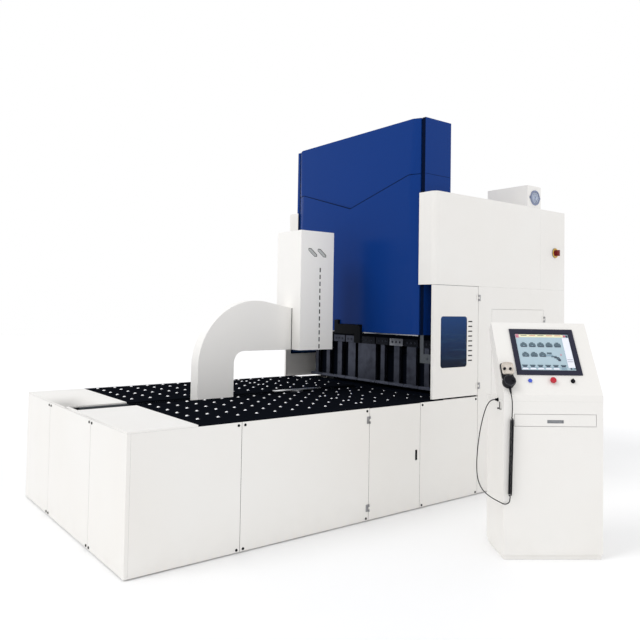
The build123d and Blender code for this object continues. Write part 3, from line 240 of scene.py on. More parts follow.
def ranged(tree, value, low, high, to_low, to_high):
    node = tree.nodes.new("ShaderNodeMapRange")
    for key, number in zip(("From Min", "From Max", "To Min", "To Max"), (low, high, to_low, to_high)):
        node.inputs[key].default_value = number
    tree.links.new(value, node.inputs["Value"])
    return node.outputs["Result"]


def mixed(tree, factor, a, b):
    node = add_node(tree, "Mix", data_type="RGBA")
    for socket, value in ((node.inputs[0], factor), (node.inputs[6], a), (node.inputs[7], b)):
        if isinstance(value, bpy.types.NodeSocket):
            tree.links.new(value, socket)
        else:
            socket.default_value = value
    return node.outputs[2]


def maths(tree, operation, a, b):
    node = add_node(tree, "Math", operation=operation)
    tree.links.new(a, node.inputs[0])
    tree.links.new(b, node.inputs[1])
    return node.outputs[0]


def build_coat_group():
    """Sprayed coat: drifting tone, painted shade in joints and corners, dust near the floor and a fine
    orange-peel skin.
    """
    tree, start, end = new_group("sprayed_coat", [("Colour", "NodeSocketColor", (0.8, 0.8, 0.8, 1)),
                                                  ("Sheen", "NodeSocketFloat", 0.4),
                                                  ("Dust", "NodeSocketFloat", 0.1),
                                                  ("Drift", "NodeSocketFloat", 0.0)],
                                 [("Colour", "NodeSocketColor"), ("Roughness", "NodeSocketFloat"),
                                  ("Height", "NodeSocketFloat")])
    place = add_node(tree, "TexCoord").outputs["Object"]
    split = add_node(tree, "SeparateXYZ")
    tree.links.new(place, split.inputs[0])
    cloud = ranged(tree, noise(tree, place, 1.3, 3), 0.3, 0.7, 0.0, 1.0)
    drift = maths(tree, "MULTIPLY", cloud, start.outputs["Drift"])
    shade = mixed(tree, drift, start.outputs["Colour"], (0.62, 0.50, 0.36, 1))
    # Painted shade: ambient occlusion darkens the colour to near black in joints, narrow gaps and inner
    # corners.
    painted_shade_ao = add_node(tree, "AmbientOcclusion", samples=6, Distance=0.007)
    painted_shade = ranged(tree, painted_shade_ao.outputs["AO"], 0.55, 0.12, 0.0, 0.88)
    shade = mixed(tree, painted_shade, shade, (0.003, 0.004, 0.008, 1))
    low = ranged(tree, split.outputs["Z"], 0.35, 0.0, 0.0, 1.0)
    specks = ranged(tree, noise(tree, place, 9, 5), 0.35, 0.75, 0.0, 1.0)
    dust = maths(tree, "MULTIPLY", maths(tree, "MULTIPLY", low, specks), start.outputs["Dust"])
    tree.links.new(mixed(tree, dust, shade, (0.32, 0.29, 0.25, 1)), end.inputs["Colour"])
    smear = ranged(tree, noise(tree, place, 4, 4, (1, 1, 0.3)), 0.3, 0.7, -0.05, 0.07)
    tree.links.new(maths(tree, "ADD", smear, start.outputs["Sheen"]), end.inputs["Roughness"])
    tree.links.new(noise(tree, place, 420, 2), end.inputs["Height"])
    return tree


def build_grain_group():
    """Rolled or ground steel: long fine scratches, stains, handling marks and painted shade in recesses."""
    tree, start, end = new_group("steel_grain", [("Colour", "NodeSocketColor", (0.5, 0.5, 0.5, 1)),
                                                 ("Stain", "NodeSocketColor", (0.2, 0.18, 0.16, 1)),
                                                 ("Along", "NodeSocketVector", (1, 1, 30)),
                                                 ("Polish", "NodeSocketFloat", 0.35),
                                                 ("Shade", "NodeSocketFloat", 0.0)],
                                 [("Colour", "NodeSocketColor"), ("Roughness", "NodeSocketFloat"),
                                  ("Height", "NodeSocketFloat")])
    place = add_node(tree, "TexCoord").outputs["Object"]
    mapping = add_node(tree, "Mapping")
    tree.links.new(place, mapping.inputs["Vector"])
    tree.links.new(start.outputs["Along"], mapping.inputs["Scale"])
    scratches = add_node(tree, "TexNoise", Scale=25.0, Detail=5.0)
    tree.links.new(mapping.outputs["Vector"], scratches.inputs["Vector"])
    blotch = ranged(tree, noise(tree, place, 14, 4), 0.45, 0.75, 0.0, 0.55)
    shade = mixed(tree, blotch, start.outputs["Colour"], start.outputs["Stain"])
    # Painted shade: ambient occlusion darkens the colour in recesses and between the tools, as much as Shade
    # asks.
    painted_shade_ao = add_node(tree, "AmbientOcclusion", samples=6, Distance=0.09)
    painted_shade = ranged(tree, painted_shade_ao.outputs["AO"], 0.75, 0.25, 0.0, 1.0)
    painted_shade = maths(tree, "MULTIPLY", painted_shade, start.outputs["Shade"])
    tree.links.new(mixed(tree, painted_shade, shade, (0.002, 0.003, 0.006, 1)), end.inputs["Colour"])
    spread = ranged(tree, scratches.outputs["Fac"], 0.3, 0.7, -0.08, 0.12)
    tree.links.new(maths(tree, "ADD", spread, start.outputs["Polish"]), end.inputs["Roughness"])
    tree.links.new(scratches.outputs["Fac"], end.inputs["Height"])
    return tree


coat_group, grain_group = build_coat_group(), build_grain_group()
print("node groups:", [g.name for g in bpy.data.node_groups])


# %% Materials from those groups
def new_material(name):
    material = bpy.data.materials.new(name)
    material.use_nodes = True
    tree = material.node_tree
    return material, tree, tree.nodes["Principled BSDF"]


def skin(tree, shader, height, strength, distance):
    """A height field turned into bumps."""
    bump = add_node(tree, "Bump", Strength=strength, Distance=distance)
    tree.links.new(height, bump.inputs["Height"])
    tree.links.new(bump.outputs["Normal"], shader.inputs["Normal"])


def from_group(name, group, bump, depth, values):
    """A material that takes its colour, roughness and bumps from one of the groups."""
    material, tree, shader = new_material(name)
    effect = add_node(tree, "Group", node_tree=group)
    for key, value in values.items():
        effect.inputs[key].default_value = value
    tree.links.new(effect.outputs["Colour"], shader.inputs["Base Color"])
    tree.links.new(effect.outputs["Roughness"], shader.inputs["Roughness"])
    skin(tree, shader, effect.outputs["Height"], bump, depth)
    return material, shader


def coat(name, colour, sheen=0.42, dust=0.1, clear=0.0, peel=0.12, drift=0.0, shine=0.5):
    values = {"Colour": (*colour, 1), "Sheen": sheen, "Dust": dust, "Drift": drift}
    material, shader = from_group(name, coat_group, peel, 0.0004, values)
    shader.inputs["Specular IOR Level"].default_value = shine
    shader.inputs["Coat Weight"].default_value = clear
    shader.inputs["Coat Roughness"].default_value = 0.12
    return material


def steel(name, colour, stain, along=(1, 1, 30), polish=0.35, metallic=1.0, bump=0.15, shade=0.0):
    values = {"Colour": (*colour, 1), "Stain": (*stain, 1), "Along": along, "Polish": polish, "Shade": shade}
    material, shader = from_group(name, grain_group, bump, 0.0005, values)
    shader.inputs["Metallic"].default_value = metallic
    shader.inputs["Specular IOR Level"].default_value = 0.5 if metallic > 0.95 else 0.1
    return material


def moulded(name, colour, rough=0.5, grain=900, strength=0.2, shine=0.4):
    """Moulded plastic or rubber with its fine grain and slightly uneven tone."""
    material, tree, shader = new_material(name)
    place = add_node(tree, "TexCoord").outputs["Object"]
    tone = ranged(tree, noise(tree, place, 30, 3), 0.3, 0.7, 0.0, 0.25)
    dark = tuple(0.6 * c for c in colour)
    tree.links.new(mixed(tree, tone, (*colour, 1), (*dark, 1)), shader.inputs["Base Color"])
    tree.links.new(ranged(tree, noise(tree, place, 60, 2), 0.3, 0.7, rough - 0.06, rough + 0.08),
                   shader.inputs["Roughness"])
    shader.inputs["Specular IOR Level"].default_value = shine
    skin(tree, shader, noise(tree, place, grain, 2), strength, 0.0003)
    return material


white = coat("white_powder_coat", (0.835, 0.82, 0.79), sheen=0.42, dust=0.05, clear=0.1, drift=0.07)
# Painted light: a lighter copy of the same white coat for the arm and head, to brighten their shaded sides.
painted_light_white = coat("arm_painted_light_white", (0.93, 0.915, 0.885), sheen=0.42, dust=0.0, clear=0.1, drift=0.03)
# Near-black blue for the dark joints of the tower's covers, and painted shade on the shell's narrow strip
# beside the covers.
joint_and_shade_blue = coat("joint_and_shade_blue", (0.001, 0.005, 0.024), sheen=0.5, dust=0.0, shine=0.02)
blue = coat("deep_blue_gloss", (0.004, 0.036, 0.198), sheen=0.20, dust=0.0, peel=0.05, shine=0.07)
grey = coat("machine_grey", (0.072, 0.080, 0.090), sheen=0.5, dust=0.3, shine=0.25)
# Painted shade: near-black grey for the beams and blade parts inside the cell, where shade falls.
shadow_grey = coat("cell_painted_shadow_grey", (0.003, 0.0045, 0.009), sheen=0.6, dust=0.0, shine=0.02)
black = coat("satin_black", (0.005, 0.006, 0.008), sheen=0.45, dust=0.0, shine=0.05)
UPRIGHT = (1, 1, 0.05)          # a grain that runs from top to bottom
# The Shade values set how much painted shade each steel gets in its recesses.
blackened = steel("blackened_tool_steel", (0.012, 0.014, 0.021), (0.004, 0.005, 0.008), UPRIGHT, 0.42, 0.6,
                  shade=0.8)
worn = steel("worn_tool_steel", (0.062, 0.068, 0.092), (0.016, 0.018, 0.028), UPRIGHT, 0.34, 0.8, shade=0.95)
bare = steel("bare_clamp_steel", (0.24, 0.25, 0.28), (0.06, 0.065, 0.08), UPRIGHT, 0.30, 1.0, shade=0.7)
ground = steel("ground_steel", (0.42, 0.43, 0.44), (0.2, 0.2, 0.2), (0.05, 1, 1), 0.3)
rolled = steel("bright_rolled_steel", (0.80, 0.81, 0.83), (0.5, 0.5, 0.51), (1, 0.05, 1), 0.28)
lip_steel = steel("lip_steel", (0.30, 0.31, 0.34), (0.10, 0.10, 0.12), (1, 0.05, 1), 0.22)
zinc = steel("zinc_hinge", (0.34, 0.34, 0.35), (0.18, 0.18, 0.17), (1, 1, 0.2), 0.32)
polished = steel("polished_ball", (0.92, 0.92, 0.93), (0.8, 0.8, 0.82), (1, 1, 1), 0.16, 1.0, 0.02)
bristle = moulded("bristle_black", (0.0055, 0.0065, 0.0095), 0.8, 1200, 0.3, 0.0)
plastic = moulded("black_plastic", (0.010, 0.010, 0.014), 0.42, shine=0.12)
cream = moulded("cream_plate", (0.74, 0.68, 0.61), 0.45, 600, 0.1)
pale_grey = moulded("grey_plastic", (0.30, 0.31, 0.33), 0.45)
mesh_grey = moulded("louvre_grey", (0.56, 0.57, 0.55), 0.5, 500, 0.4)
slate = moulded("slate_blue_plastic", (0.20, 0.24, 0.37), 0.4)
ice = moulded("pale_blue_plastic", (0.68, 0.76, 0.92), 0.4)
navy = moulded("navy_bezel", (0.020, 0.021, 0.042), 0.35, 500, 0.1, 0.2)
dark_red = moulded("dark_red_handle", (0.20, 0.010, 0.010), 0.35, 300, 0.05)
gasket_and_shade = moulded("black_gasket_and_shade", (0.012, 0.012, 0.013), 0.6, 800, 0.2)
red = moulded("red_button", (0.52, 0.012, 0.03), 0.28, 300, 0.05)
yellow = moulded("yellow_plate", (0.70, 0.42, 0.05), 0.4, 300, 0.05)
signal = moulded("blue_lens", (0.05, 0.10, 0.60), 0.18, 200, 0.03)
jacket = moulded("cord_jacket", (0.005, 0.005, 0.008), 0.46, 1500, 0.25, 0.15)
print("materials:", len(bpy.data.materials))


# %% [markdown]
# ## Tinted window panes
# The side windows are plastic panes with a blue tint. Most of what they show is the dark inside of the
# cell and a soft reflection. The pane is a tinted glass with a slightly uneven gloss, and its colour holds
# painted reflection and shade: darker low down, lighter high up, with pale streaks.

# %% Glass
def pane_with_painted_reflection():
    material, tree, shader = new_material("pane_with_painted_reflection")
    shader.inputs["Transmission Weight"].default_value = 0.6
    shader.inputs["IOR"].default_value = 1.2
    place = add_node(tree, "TexCoord").outputs["Object"]
    split = add_node(tree, "SeparateXYZ")
    tree.links.new(place, split.inputs[0])
    # Painted reflection and shade: the colour is darker towards the bottom and lighter towards the top, with
    # pale streaks of painted reflection.
    height = ranged(tree, split.outputs["Z"], 1.20, 1.60, 0.0, 1.0)
    tint = mixed(tree, height, (0.004, 0.018, 0.060, 1), (0.024, 0.110, 0.36, 1))
    painted_reflection = ranged(tree, noise(tree, place, 5, 3, (0.6, 1, 7)), 0.52, 0.72, 0.0, 0.6)
    tree.links.new(mixed(tree, painted_reflection, tint, (0.05, 0.15, 0.30, 1)), shader.inputs["Base Color"])
    tree.links.new(ranged(tree, noise(tree, place, 40, 2), 0.3, 0.7, 0.04, 0.09), shader.inputs["Roughness"])
    return material


pane = pane_with_painted_reflection()

# %% [markdown]
# ## The console's frame of reference
# The console stands turned to the machine, and its screen lies on a slope. Two matrices take a point
# from the console's own corner, or from the slope, to its place in the hall.

# %% Console and slope matrices
CONSOLE = Matrix.Translation((-0.8076, -2.2508, 0)) @ Matrix.Rotation(math.radians(-35.6), 4, "Z")
SLOPE_FOOT, SLOPE_TOP, SLOPE_DEPTH = 1.108, 1.594, 0.311
SLOPE_RISE = math.atan2(SLOPE_TOP - SLOPE_FOOT, SLOPE_DEPTH)
SLOPE = CONSOLE @ Matrix.Translation((0, 0, SLOPE_FOOT)) @ Matrix.Rotation(SLOPE_RISE, 4, "X")

# %% [markdown]
# ## The cord
# One cord leaves the gland on the console's side, hangs in a loop, winds up the curly stretch and
# ends in the pendant. It is a single smooth spline: the points of the loop, then twelve points for
# each turn of the curl, then the short lead. The curl's turns are laid round a guide spline.

# %% Build the cord
LEAD = [(-0.020, 0.130, 1.058), (-0.044, 0.130, 1.058), (-0.070, 0.128, 1.035), (-0.093, 0.124, 0.992),
        (-0.118, 0.117, 0.908), (-0.139, 0.108, 0.812), (-0.153, 0.098, 0.714), (-0.161, 0.088, 0.618),
        (-0.159, 0.077, 0.530), (-0.136, 0.064, 0.462), (-0.098, 0.0445, 0.423), (-0.058, 0.025, 0.399),
        (-0.021, 0.006, 0.383), (0.003, -0.006, 0.373), (0.023, -0.0155, 0.378), (0.03755, -0.01985, 0.3933)]
CURL = [(0.038, -0.020, 0.414), (0.044, -0.022, 0.690), (0.050, -0.020, 0.966)]
PENDANT_LEAD = [(0.05075, -0.01975, 1.0005), (0.0505, -0.0225, 1.040), (0.048, -0.026, 1.072),
                (0.044, -0.023585, 1.09999), (0.044, -0.0127, 1.117)]
CORD_RADIUS, CURL_RADIUS, CURL_PITCH, POINTS_PER_TURN = 0.0035, 0.0108, 0.0086, 12


def spline_object(name, points, radius=0.0):
    data = bpy.data.curves.new(name, "CURVE")
    data.dimensions = "3D"
    data.bevel_depth = radius
    data.bevel_resolution = 2
    data.use_fill_caps = True
    spline = data.splines.new("NURBS")
    spline.points.add(len(points) - 1)
    for point, place in zip(spline.points, points):
        point.co = (*place, 1)
    spline.order_u = 3
    spline.use_endpoint_u = True
    spline.resolution_u = 3 if len(points) > 100 else 12
    curve = bpy.data.objects.new(name, data)
    bpy.context.scene.collection.objects.link(curve)
    return curve


def read_points(curve):
    """The points that a spline passes through."""
    mesh = bpy.data.meshes.new_from_object(curve.evaluated_get(bpy.context.evaluated_depsgraph_get()))
    points = [v.co.copy() for v in mesh.vertices]
    bpy.data.meshes.remove(mesh)
    return points


def curl_points():
    """Turns round the guide, tight at full length and closing in at both ends."""
    guide = spline_object("curl_guide", CURL)
    line = read_points(guide)
    bpy.data.objects.remove(guide)
    total = sum((b - a).length for a, b in zip(line, line[1:]))
    turns = int(total / CURL_PITCH)
    count, result = turns * POINTS_PER_TURN, []
    steps = [1 + 5 * math.exp(-i / 5) + 5 * math.exp((i - count) / 5) for i in range(count)]
    for i in range(1, count):
        at = sum(steps[:i]) / sum(steps) * (len(line) - 1)
        a, b = line[int(at)], line[min(int(at) + 1, len(line) - 1)]
        centre = a.lerp(b, at - int(at))
        radius = CURL_RADIUS * min(1.0, i / 14, (count - i) / 14)
        angle = 2 * math.pi * i / POINTS_PER_TURN - math.pi / 2
        result.append(centre + Vector((radius * math.cos(angle), radius * math.sin(angle), 0)))
    print("curl of", turns, "turns over", round(total, 3), "m")
    return result


def build_cord():
    route = [Vector(p) for p in LEAD] + curl_points() + [Vector(p) for p in PENDANT_LEAD]
    cord = spline_object("console_cord", [CONSOLE @ p for p in route], CORD_RADIUS)
    bare = spline_object("cord_line", [CONSOLE @ p for p in route])
    line = read_points(bare)
    bpy.data.objects.remove(bare)
    cord.data.materials.append(jacket)
    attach(cord, "machine")
    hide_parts("console_lead", "curly_section", "pendant_lead")
    return cord


build_cord()

# %% [markdown]
# ## Eased edges on the covers
# Folded and painted sheet never has a knife edge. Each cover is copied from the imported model, its
# loose triangles are welded and a narrow bevel rounds the edges, so that they catch the light. Flat
# faces are merged first, but not on a cover with small holes: there only the long edges are rounded.
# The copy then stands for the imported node.

# %% Weld, bevel and dress a node
SHARP, FOLD = math.radians(38), 0.0012      # what counts as an edge, and a folded sheet's rounding


def select_long_edges(piece, shortest):
    """Selects the sharp edges that are at least this long, and leaves out those of small holes."""
    only(piece)
    bpy.ops.object.mode_set(mode="EDIT")
    bpy.ops.mesh.select_mode(type="EDGE")
    bpy.ops.mesh.select_all(action="DESELECT")
    bpy.ops.mesh.edges_select_sharp(sharpness=SHARP)
    end_edit()
    for edge in piece.data.edges:
        a, b = (piece.data.vertices[v].co for v in edge.vertices)
        edge.select = edge.select and (a - b).length >= shortest
    bpy.ops.object.mode_set(mode="EDIT")


def dressed(node, material, width=FOLD, segments=2, shortest=0.0):
    """A copy of a node with eased edges, on its body and in its place."""
    source = nodes[node]
    piece = bpy.data.objects.new(node + "_cover", source.data.copy())
    bpy.context.scene.collection.objects.link(piece)
    only(piece)
    if piece.data.has_custom_normals:
        bpy.ops.mesh.customdata_custom_splitnormals_clear()
    bpy.ops.object.mode_set(mode="EDIT")
    bpy.ops.mesh.select_all(action="SELECT")
    bpy.ops.mesh.remove_doubles(threshold=0.00002)
    if not shortest:
        bpy.ops.mesh.dissolve_limited(angle_limit=math.radians(0.8))
    end_edit()
    if shortest:
        select_long_edges(piece, shortest)
        bpy.ops.mesh.bevel(offset=width, segments=segments, affect="EDGES", clamp_overlap=True)
        bpy.ops.mesh.select_mode(type="VERT")
        end_edit()
    else:
        apply_modifier(piece, "BEVEL", width=width, segments=segments, limit_method="ANGLE",
                       angle_limit=SHARP, miter_outer="MITER_ARC")
    bpy.ops.object.shade_smooth_by_angle(angle=math.radians(35))
    apply_modifier(piece, "WEIGHTED_NORMAL", keep_sharp=True, weight=90)
    settle(piece, node + "_cover", source["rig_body"], slot_of[node], material)
    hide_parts(node)
    return piece


def repaint(piece, material, y_low, y_high):
    """Gives the faces between two places across the machine another finish."""
    piece.data.materials.append(material)
    index = len(piece.data.materials) - 1
    for face in piece.data.polygons:
        if y_low < face.center.y < y_high:
            face.material_index = index


white_nodes = ["end_panels", "end_covers", "near_panels", "far_panels", "service_door", "window_door_near",
               "window_door_far", "rear_door", "rear_panels", "upper_covers", "rear_box", "top_box", "c_arm",
               "head_housing", "console_body", "console_head", "console_drawer"]
# Bevel widths that differ from a folded sheet's
widths = {"c_arm": 0.003, "console_body": 0.0009, "console_head": 0.0009, "console_drawer": 0.0009}
# The shortest edge that is rounded on a cover with small holes
holed = {"head_housing": 0.15, "window_door_near": 0.15, "window_door_far": 0.15, "rear_panels": 0.15,
         "console_head": 0.12, "top_box": 0.12, "service_door": 0.15, "rear_door": 0.15,
         "tower_cover_upper": 0.06, "tower_cover_lower": 0.06}
COVER_SIDE = -0.917             # side of the front covers, towards the operator
BARE_CLAMP, WORN_CLAMPS = (-0.5295, -0.3315), (0.1345, 0.5295)
for node in white_nodes:
    # The arm and head take the lighter copy of the white coat, which is painted light.
    paint = painted_light_white if node in ("c_arm", "head_housing") else white
    dressed(node, paint, widths.get(node, FOLD), shortest=holed.get(node, 0.0))
for node in ("tower_cover_upper", "tower_cover_lower"):
    dressed(node, blue, shortest=holed[node])
shell = dressed("tower_shell", blue)
# Painted shade: the shell's narrow strip that faces the loading end beside the covers, on the operator's side
# only, takes the near-black blue.
shell.data.materials.append(joint_and_shade_blue)
for face in shell.data.polygons:
    if face.normal.x < -0.9 and face.center.y < COVER_SIDE:
        face.material_index = 1
dressed("tool_segments", worn, 0.0018, 1)
clamps = dressed("tool_clamps", blackened, 0.0022)
repaint(clamps, bare, *BARE_CLAMP)
repaint(clamps, worn, *WORN_CLAMPS)
dressed("centre_guide", black, 0.0025)
print("dressed", len(white_nodes) + 6, "nodes")

# %% [markdown]
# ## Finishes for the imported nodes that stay
# Frames, rails, tools and small parts already have their true shape. They keep it, and only get the
# finish that the real ones have.

# %% Give the other nodes their finish
finishes = {
    grey: ["base_frame", "side_frames", "sole_plate", "feed_carriage"],
    # The beams and blade parts take the near-black grey of painted shade.
    shadow_grey: ["lower_beam", "upper_beam", "blade_saddle", "blade_holder"],
    black: ["door_latch", "console_fittings"],
    ground: ["feed_rails", "clamp_ram", "clamp_foot"],
    rolled: ["lower_clamp"],
    zinc: ["door_hinges"],
    pane: ["window_pane_near", "window_pane_far"],
    plastic: ["mode_selector", "pendant_body", "pendant_dial", "pendant_axis_knob", "pendant_rate_knob",
              "screen_display"],
    navy: ["screen_bezel"],
    slate: ["fan_guard"],
    ice: ["fan_wheel"],
    pale_grey: ["control_gear", "isolator_base"],
    red: ["stop_button"],
    dark_red: ["isolator_handle"],
    signal: ["start_button"],
    bristle: ["brush_tables"],
    polished: ["transfer_balls", "cover_screws"],
}
for material, names in finishes.items():
    for name in names:
        nodes[name].data.materials.clear()
        nodes[name].data.materials.append(material)
assert not set(nodes) - {n for names in finishes.values() for n in names} - set(white_nodes) - {
    "tower_shell", "tower_cover_upper", "tower_cover_lower", "tool_segments", "tool_clamps", "centre_guide",
    "console_lead", "curly_section", "pendant_lead"}

# %% [markdown]
# ## Ball units
# Each unit is a polished ball in a low steel cup. One is modelled from a sphere and a cylinder and
# then copied to every place, so it has only a few dozen faces.

# %% Model one ball unit and copy it
TABLE_TOP, BALL_RADIUS, BALL_PROUD, PITCH = 0.900, 0.015, 0.008, 0.160


def ball_places():
    """The same grid as in the part's source."""
    places = []
    for row in range(6):
        columns = [-2.420 + PITCH * i for i in range(10)]
        last = columns[-1]
        if row < 2:
            columns += [last + PITCH * i for i in (1, 2, 3)]
        else:
            columns += [last + 0.056 + 0.1504 * i for i in (0, 1, 2)]
        columns += [-0.390, -0.214]
        places += [(x, y) for x in columns for y in (-0.118 - PITCH * row, 0.242 + PITCH * row)]
    return places


def ball_unit():
    bpy.ops.mesh.primitive_uv_sphere_add(segments=12, ring_count=8, radius=BALL_RADIUS,
                                         location=(0, 0, BALL_PROUD - BALL_RADIUS))
    ball = bpy.context.object
    bpy.ops.object.transform_apply(location=True)
    bpy.ops.object.mode_set(mode="EDIT")
    bpy.ops.mesh.select_all(action="SELECT")
    bpy.ops.mesh.bisect(plane_co=(0, 0, 0.0004), plane_no=(0, 0, 1), clear_inner=True)
    end_edit()
    bpy.ops.object.shade_smooth()
    bpy.ops.mesh.primitive_cylinder_add(vertices=14, radius=0.0185, depth=0.0018, location=(0, 0, 0.0009))
    cup = bpy.context.object
    start_edit(cup, "polygons", faces_up)
    bpy.ops.mesh.inset(thickness=0.0045, depth=-0.0012)
    end_edit()
    ball.data.materials.append(polished)
    cup.data.materials.append(black)
    return joined([ball, cup])


units = copies(ball_unit(), [Matrix.Translation((x, y, TABLE_TOP)) for x, y in ball_places()])
settle(units, "ball_units", "machine", "ball")
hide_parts("transfer_balls")
print("ball units:", len(ball_places()))

# %% [markdown]
# ## The brush boards
# The boards are full of short black tufts, which carry thin sheet without scratching it. A tuft is a
# five-sided tapered stub. Rows of them are copied over thin base plates, and left out where a ball
# unit sits. Two denser combs close the slot along the arm.

# %% Plates, tufts and combs
BOARD_START, BOARD_END = -2.518, -0.150
BOARD_INSIDE, BOARD_OUTSIDE = 0.074, 1.118
TUFT_PITCH, TUFT_TOP, PLATE_TOP, PLATE_BOTTOM = 0.020, 0.8995, 0.8925, 0.888
BOARD_LENGTH, BOARD_MIDDLE = BOARD_END - BOARD_START, (BOARD_START + BOARD_END) / 2
BALL_CLEAR = 0.0245             # from a ball's middle to the nearest tufts
COMB_PITCH, COMB_Y, COMB_FOOT = 0.008, 0.0665, 0.8765


def board_plate(side):
    """Base plate of the tufts, with a raised rim."""
    low, high = sorted((side * BOARD_INSIDE, side * BOARD_OUTSIDE))
    plate = block((BOARD_LENGTH, high - low, PLATE_TOP - PLATE_BOTTOM),
                  (BOARD_MIDDLE, (low + high) / 2, (PLATE_BOTTOM + PLATE_TOP) / 2))
    start_edit(plate, "polygons", faces_up)
    bpy.ops.mesh.inset(thickness=0.003)
    end_edit()
    for face in plate.data.polygons:
        face.select = faces_up(face) and face.area < 0.02
    bpy.ops.object.mode_set(mode="EDIT")
    bpy.ops.mesh.extrude_region_move(TRANSFORM_OT_translate={"value": (0, 0, TABLE_TOP - PLATE_TOP)})
    end_edit()
    return plate


def tuft(radius, height):
    """A tapered stub, open below, where it stands on its plate."""
    bpy.ops.mesh.primitive_cone_add(vertices=5, radius1=radius * 0.7, radius2=radius, depth=height,
                                    end_fill_type="NGON", location=(0, 0, height / 2))
    stub = bpy.context.object
    bpy.ops.object.transform_apply(location=True)
    start_edit(stub, "polygons", lambda face: face.normal.z < -0.9)
    bpy.ops.mesh.delete(type="FACE")
    end_edit()
    return stub


def tuft_places():
    places, balls = [], ball_places()
    nx = int(BOARD_LENGTH / TUFT_PITCH)
    ny = int((BOARD_OUTSIDE - BOARD_INSIDE) / TUFT_PITCH)
    for side in (-1, 1):
        near_balls = [b for b in balls if b[1] * side > 0]
        for j in range(1, ny):
            y = side * (BOARD_INSIDE + TUFT_PITCH * (j + 0.1))
            row_balls = [b for b in near_balls if abs(b[1] - y) < 0.025]
            for i in range(1, nx):
                x = BOARD_START + TUFT_PITCH * (i + 0.5 * (j % 2))
                if all((x - bx) ** 2 + (y - by) ** 2 > BALL_CLEAR ** 2 for bx, by in row_balls):
                    places.append(Matrix.Translation((x, y, PLATE_TOP - 0.0005)))
    return places


def comb_places():
    steps = int((BOARD_LENGTH - 0.02) / COMB_PITCH)
    return [Matrix.Translation((BOARD_START + 0.01 + COMB_PITCH * i, side * (COMB_Y + 0.004 * (i % 2)),
                                COMB_FOOT)) for side in (-1, 1) for i in range(steps)]


def brush_field():
    plates = joined([board_plate(-1), board_plate(1)])
    tufts = copies(tuft(0.0042, TUFT_TOP - PLATE_TOP + 0.0005), tuft_places())
    print("tufts:", len(tufts.data.polygons) // 6)
    comb = copies(tuft(0.0024, 0.0225), comb_places())
    bars = [block((BOARD_LENGTH, 0.010, 0.008), (BOARD_MIDDLE, y, 0.8805), 0.001) for y in (-0.069, 0.069)]
    return joined([plates, tufts, comb, *bars])


field = settle(brush_field(), "brush_field", "machine", "brush_board", bristle)
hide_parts("brush_tables")

# %% [markdown]
# ## Socket screws
# Black button-head screws hold the covers, and three hold each tool clamp. One head is turned from a
# cylinder, its rim rounded and a round socket sunk into it, and then copied.

# %% Model one screw and copy it
def screw_head(radius, height):
    bpy.ops.mesh.primitive_cylinder_add(vertices=16, radius=radius, depth=height, location=(0, 0, height / 2))
    head = bpy.context.object
    bpy.ops.object.transform_apply(location=True)
    start_edit(head, "polygons", faces_up)
    bpy.ops.mesh.bevel(offset=height * 0.45, segments=2, affect="EDGES")
    end_edit()
    top = max(head.data.polygons, key=lambda face: (face.center.z, face.area))
    for face in head.data.polygons:
        face.select = face.index == top.index
    bpy.ops.object.mode_set(mode="EDIT")
    bpy.ops.mesh.inset(thickness=radius * 0.28)
    bpy.ops.mesh.inset(thickness=0.0001, depth=-height * 0.6)
    end_edit()
    bpy.ops.object.shade_smooth_by_angle(angle=math.radians(40))
    return head


COVER_FACE, LOAD_FACE, SCREW_INSET = 1.118, -3.0, 0.026
SCREW_LEVELS = (0.866, 0.025)


def cover_screw_places():
    """Beside the joints of the base covers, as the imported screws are."""
    near = Matrix.Rotation(math.radians(90), 4, "X")
    far = Matrix.Rotation(math.radians(-90), 4, "X")
    end = Matrix.Rotation(math.radians(-90), 4, "Y")
    seams = [-2.185 - SCREW_INSET, -2.185 + SCREW_INSET, -1.010 - SCREW_INSET, -0.433 + SCREW_INSET,
             0.318 - SCREW_INSET]
    places = []
    for z in SCREW_LEVELS:
        for i, x in enumerate(seams):
            places.append(Matrix.Translation((x, -COVER_FACE, z)) @ near)
            if i != 2:
                places.append(Matrix.Translation((x, COVER_FACE, z)) @ far)
        for y in (-0.495, -0.443, 0.443, 0.495):
            places.append(Matrix.Translation((LOAD_FACE, y, z)) @ end)
    return places


cover_heads = settle(copies(screw_head(0.007, 0.003), cover_screw_places()), "cover_screw_heads", "machine",
                     "hinge_metal", black)
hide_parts("cover_screws")

CLAMP_FACE, CLAMP_HOLES = -0.054, 1.357     # bottom of the screws' holes and their level


def clamp_screw_places():
    """Three in each clamp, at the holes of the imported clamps."""
    middles, pitch = [(0.0, 0.264)], 0.197
    for side in (-1, 1):
        middles += [(side * (0.135 + pitch * (i + 0.5)), pitch - 0.003) for i in range(4)]
    turn = Matrix.Rotation(math.radians(-90), 4, "Y")
    return [Matrix.Translation((CLAMP_FACE, y + step * wide * 0.26, CLAMP_HOLES)) @ turn
            for y, wide in middles for step in (-1, 0, 1)]


clamp_heads = settle(copies(screw_head(0.0080, 0.006), clamp_screw_places()), "clamp_screw_heads", "press",
                     "tool_steel", worn)
print("screws:", len(cover_screw_places()) + len(clamp_screw_places()))

# %% [markdown]
# ## Louvre screens and dark backings
# Behind each slanted opening of the head lies a pale screen of fine mesh, which keeps hands out and
# lets air pass. Each is a six-sided sheet, inset from a polygon of six corners, with a dark rim of painted
# shade where the opening's edge shades it. Dark strips of painted shade lie behind the head's row of
# short slots and behind the vents of the window doors, standing for the dark inside.

# %% Louvre screens, slots and vents
HEAD_REAR, HEAD_TOP, HEAD_WALL = -1.034, 2.383, -0.187
BACK_SHEET = HEAD_WALL + 0.0012             # place of what lies behind the wall


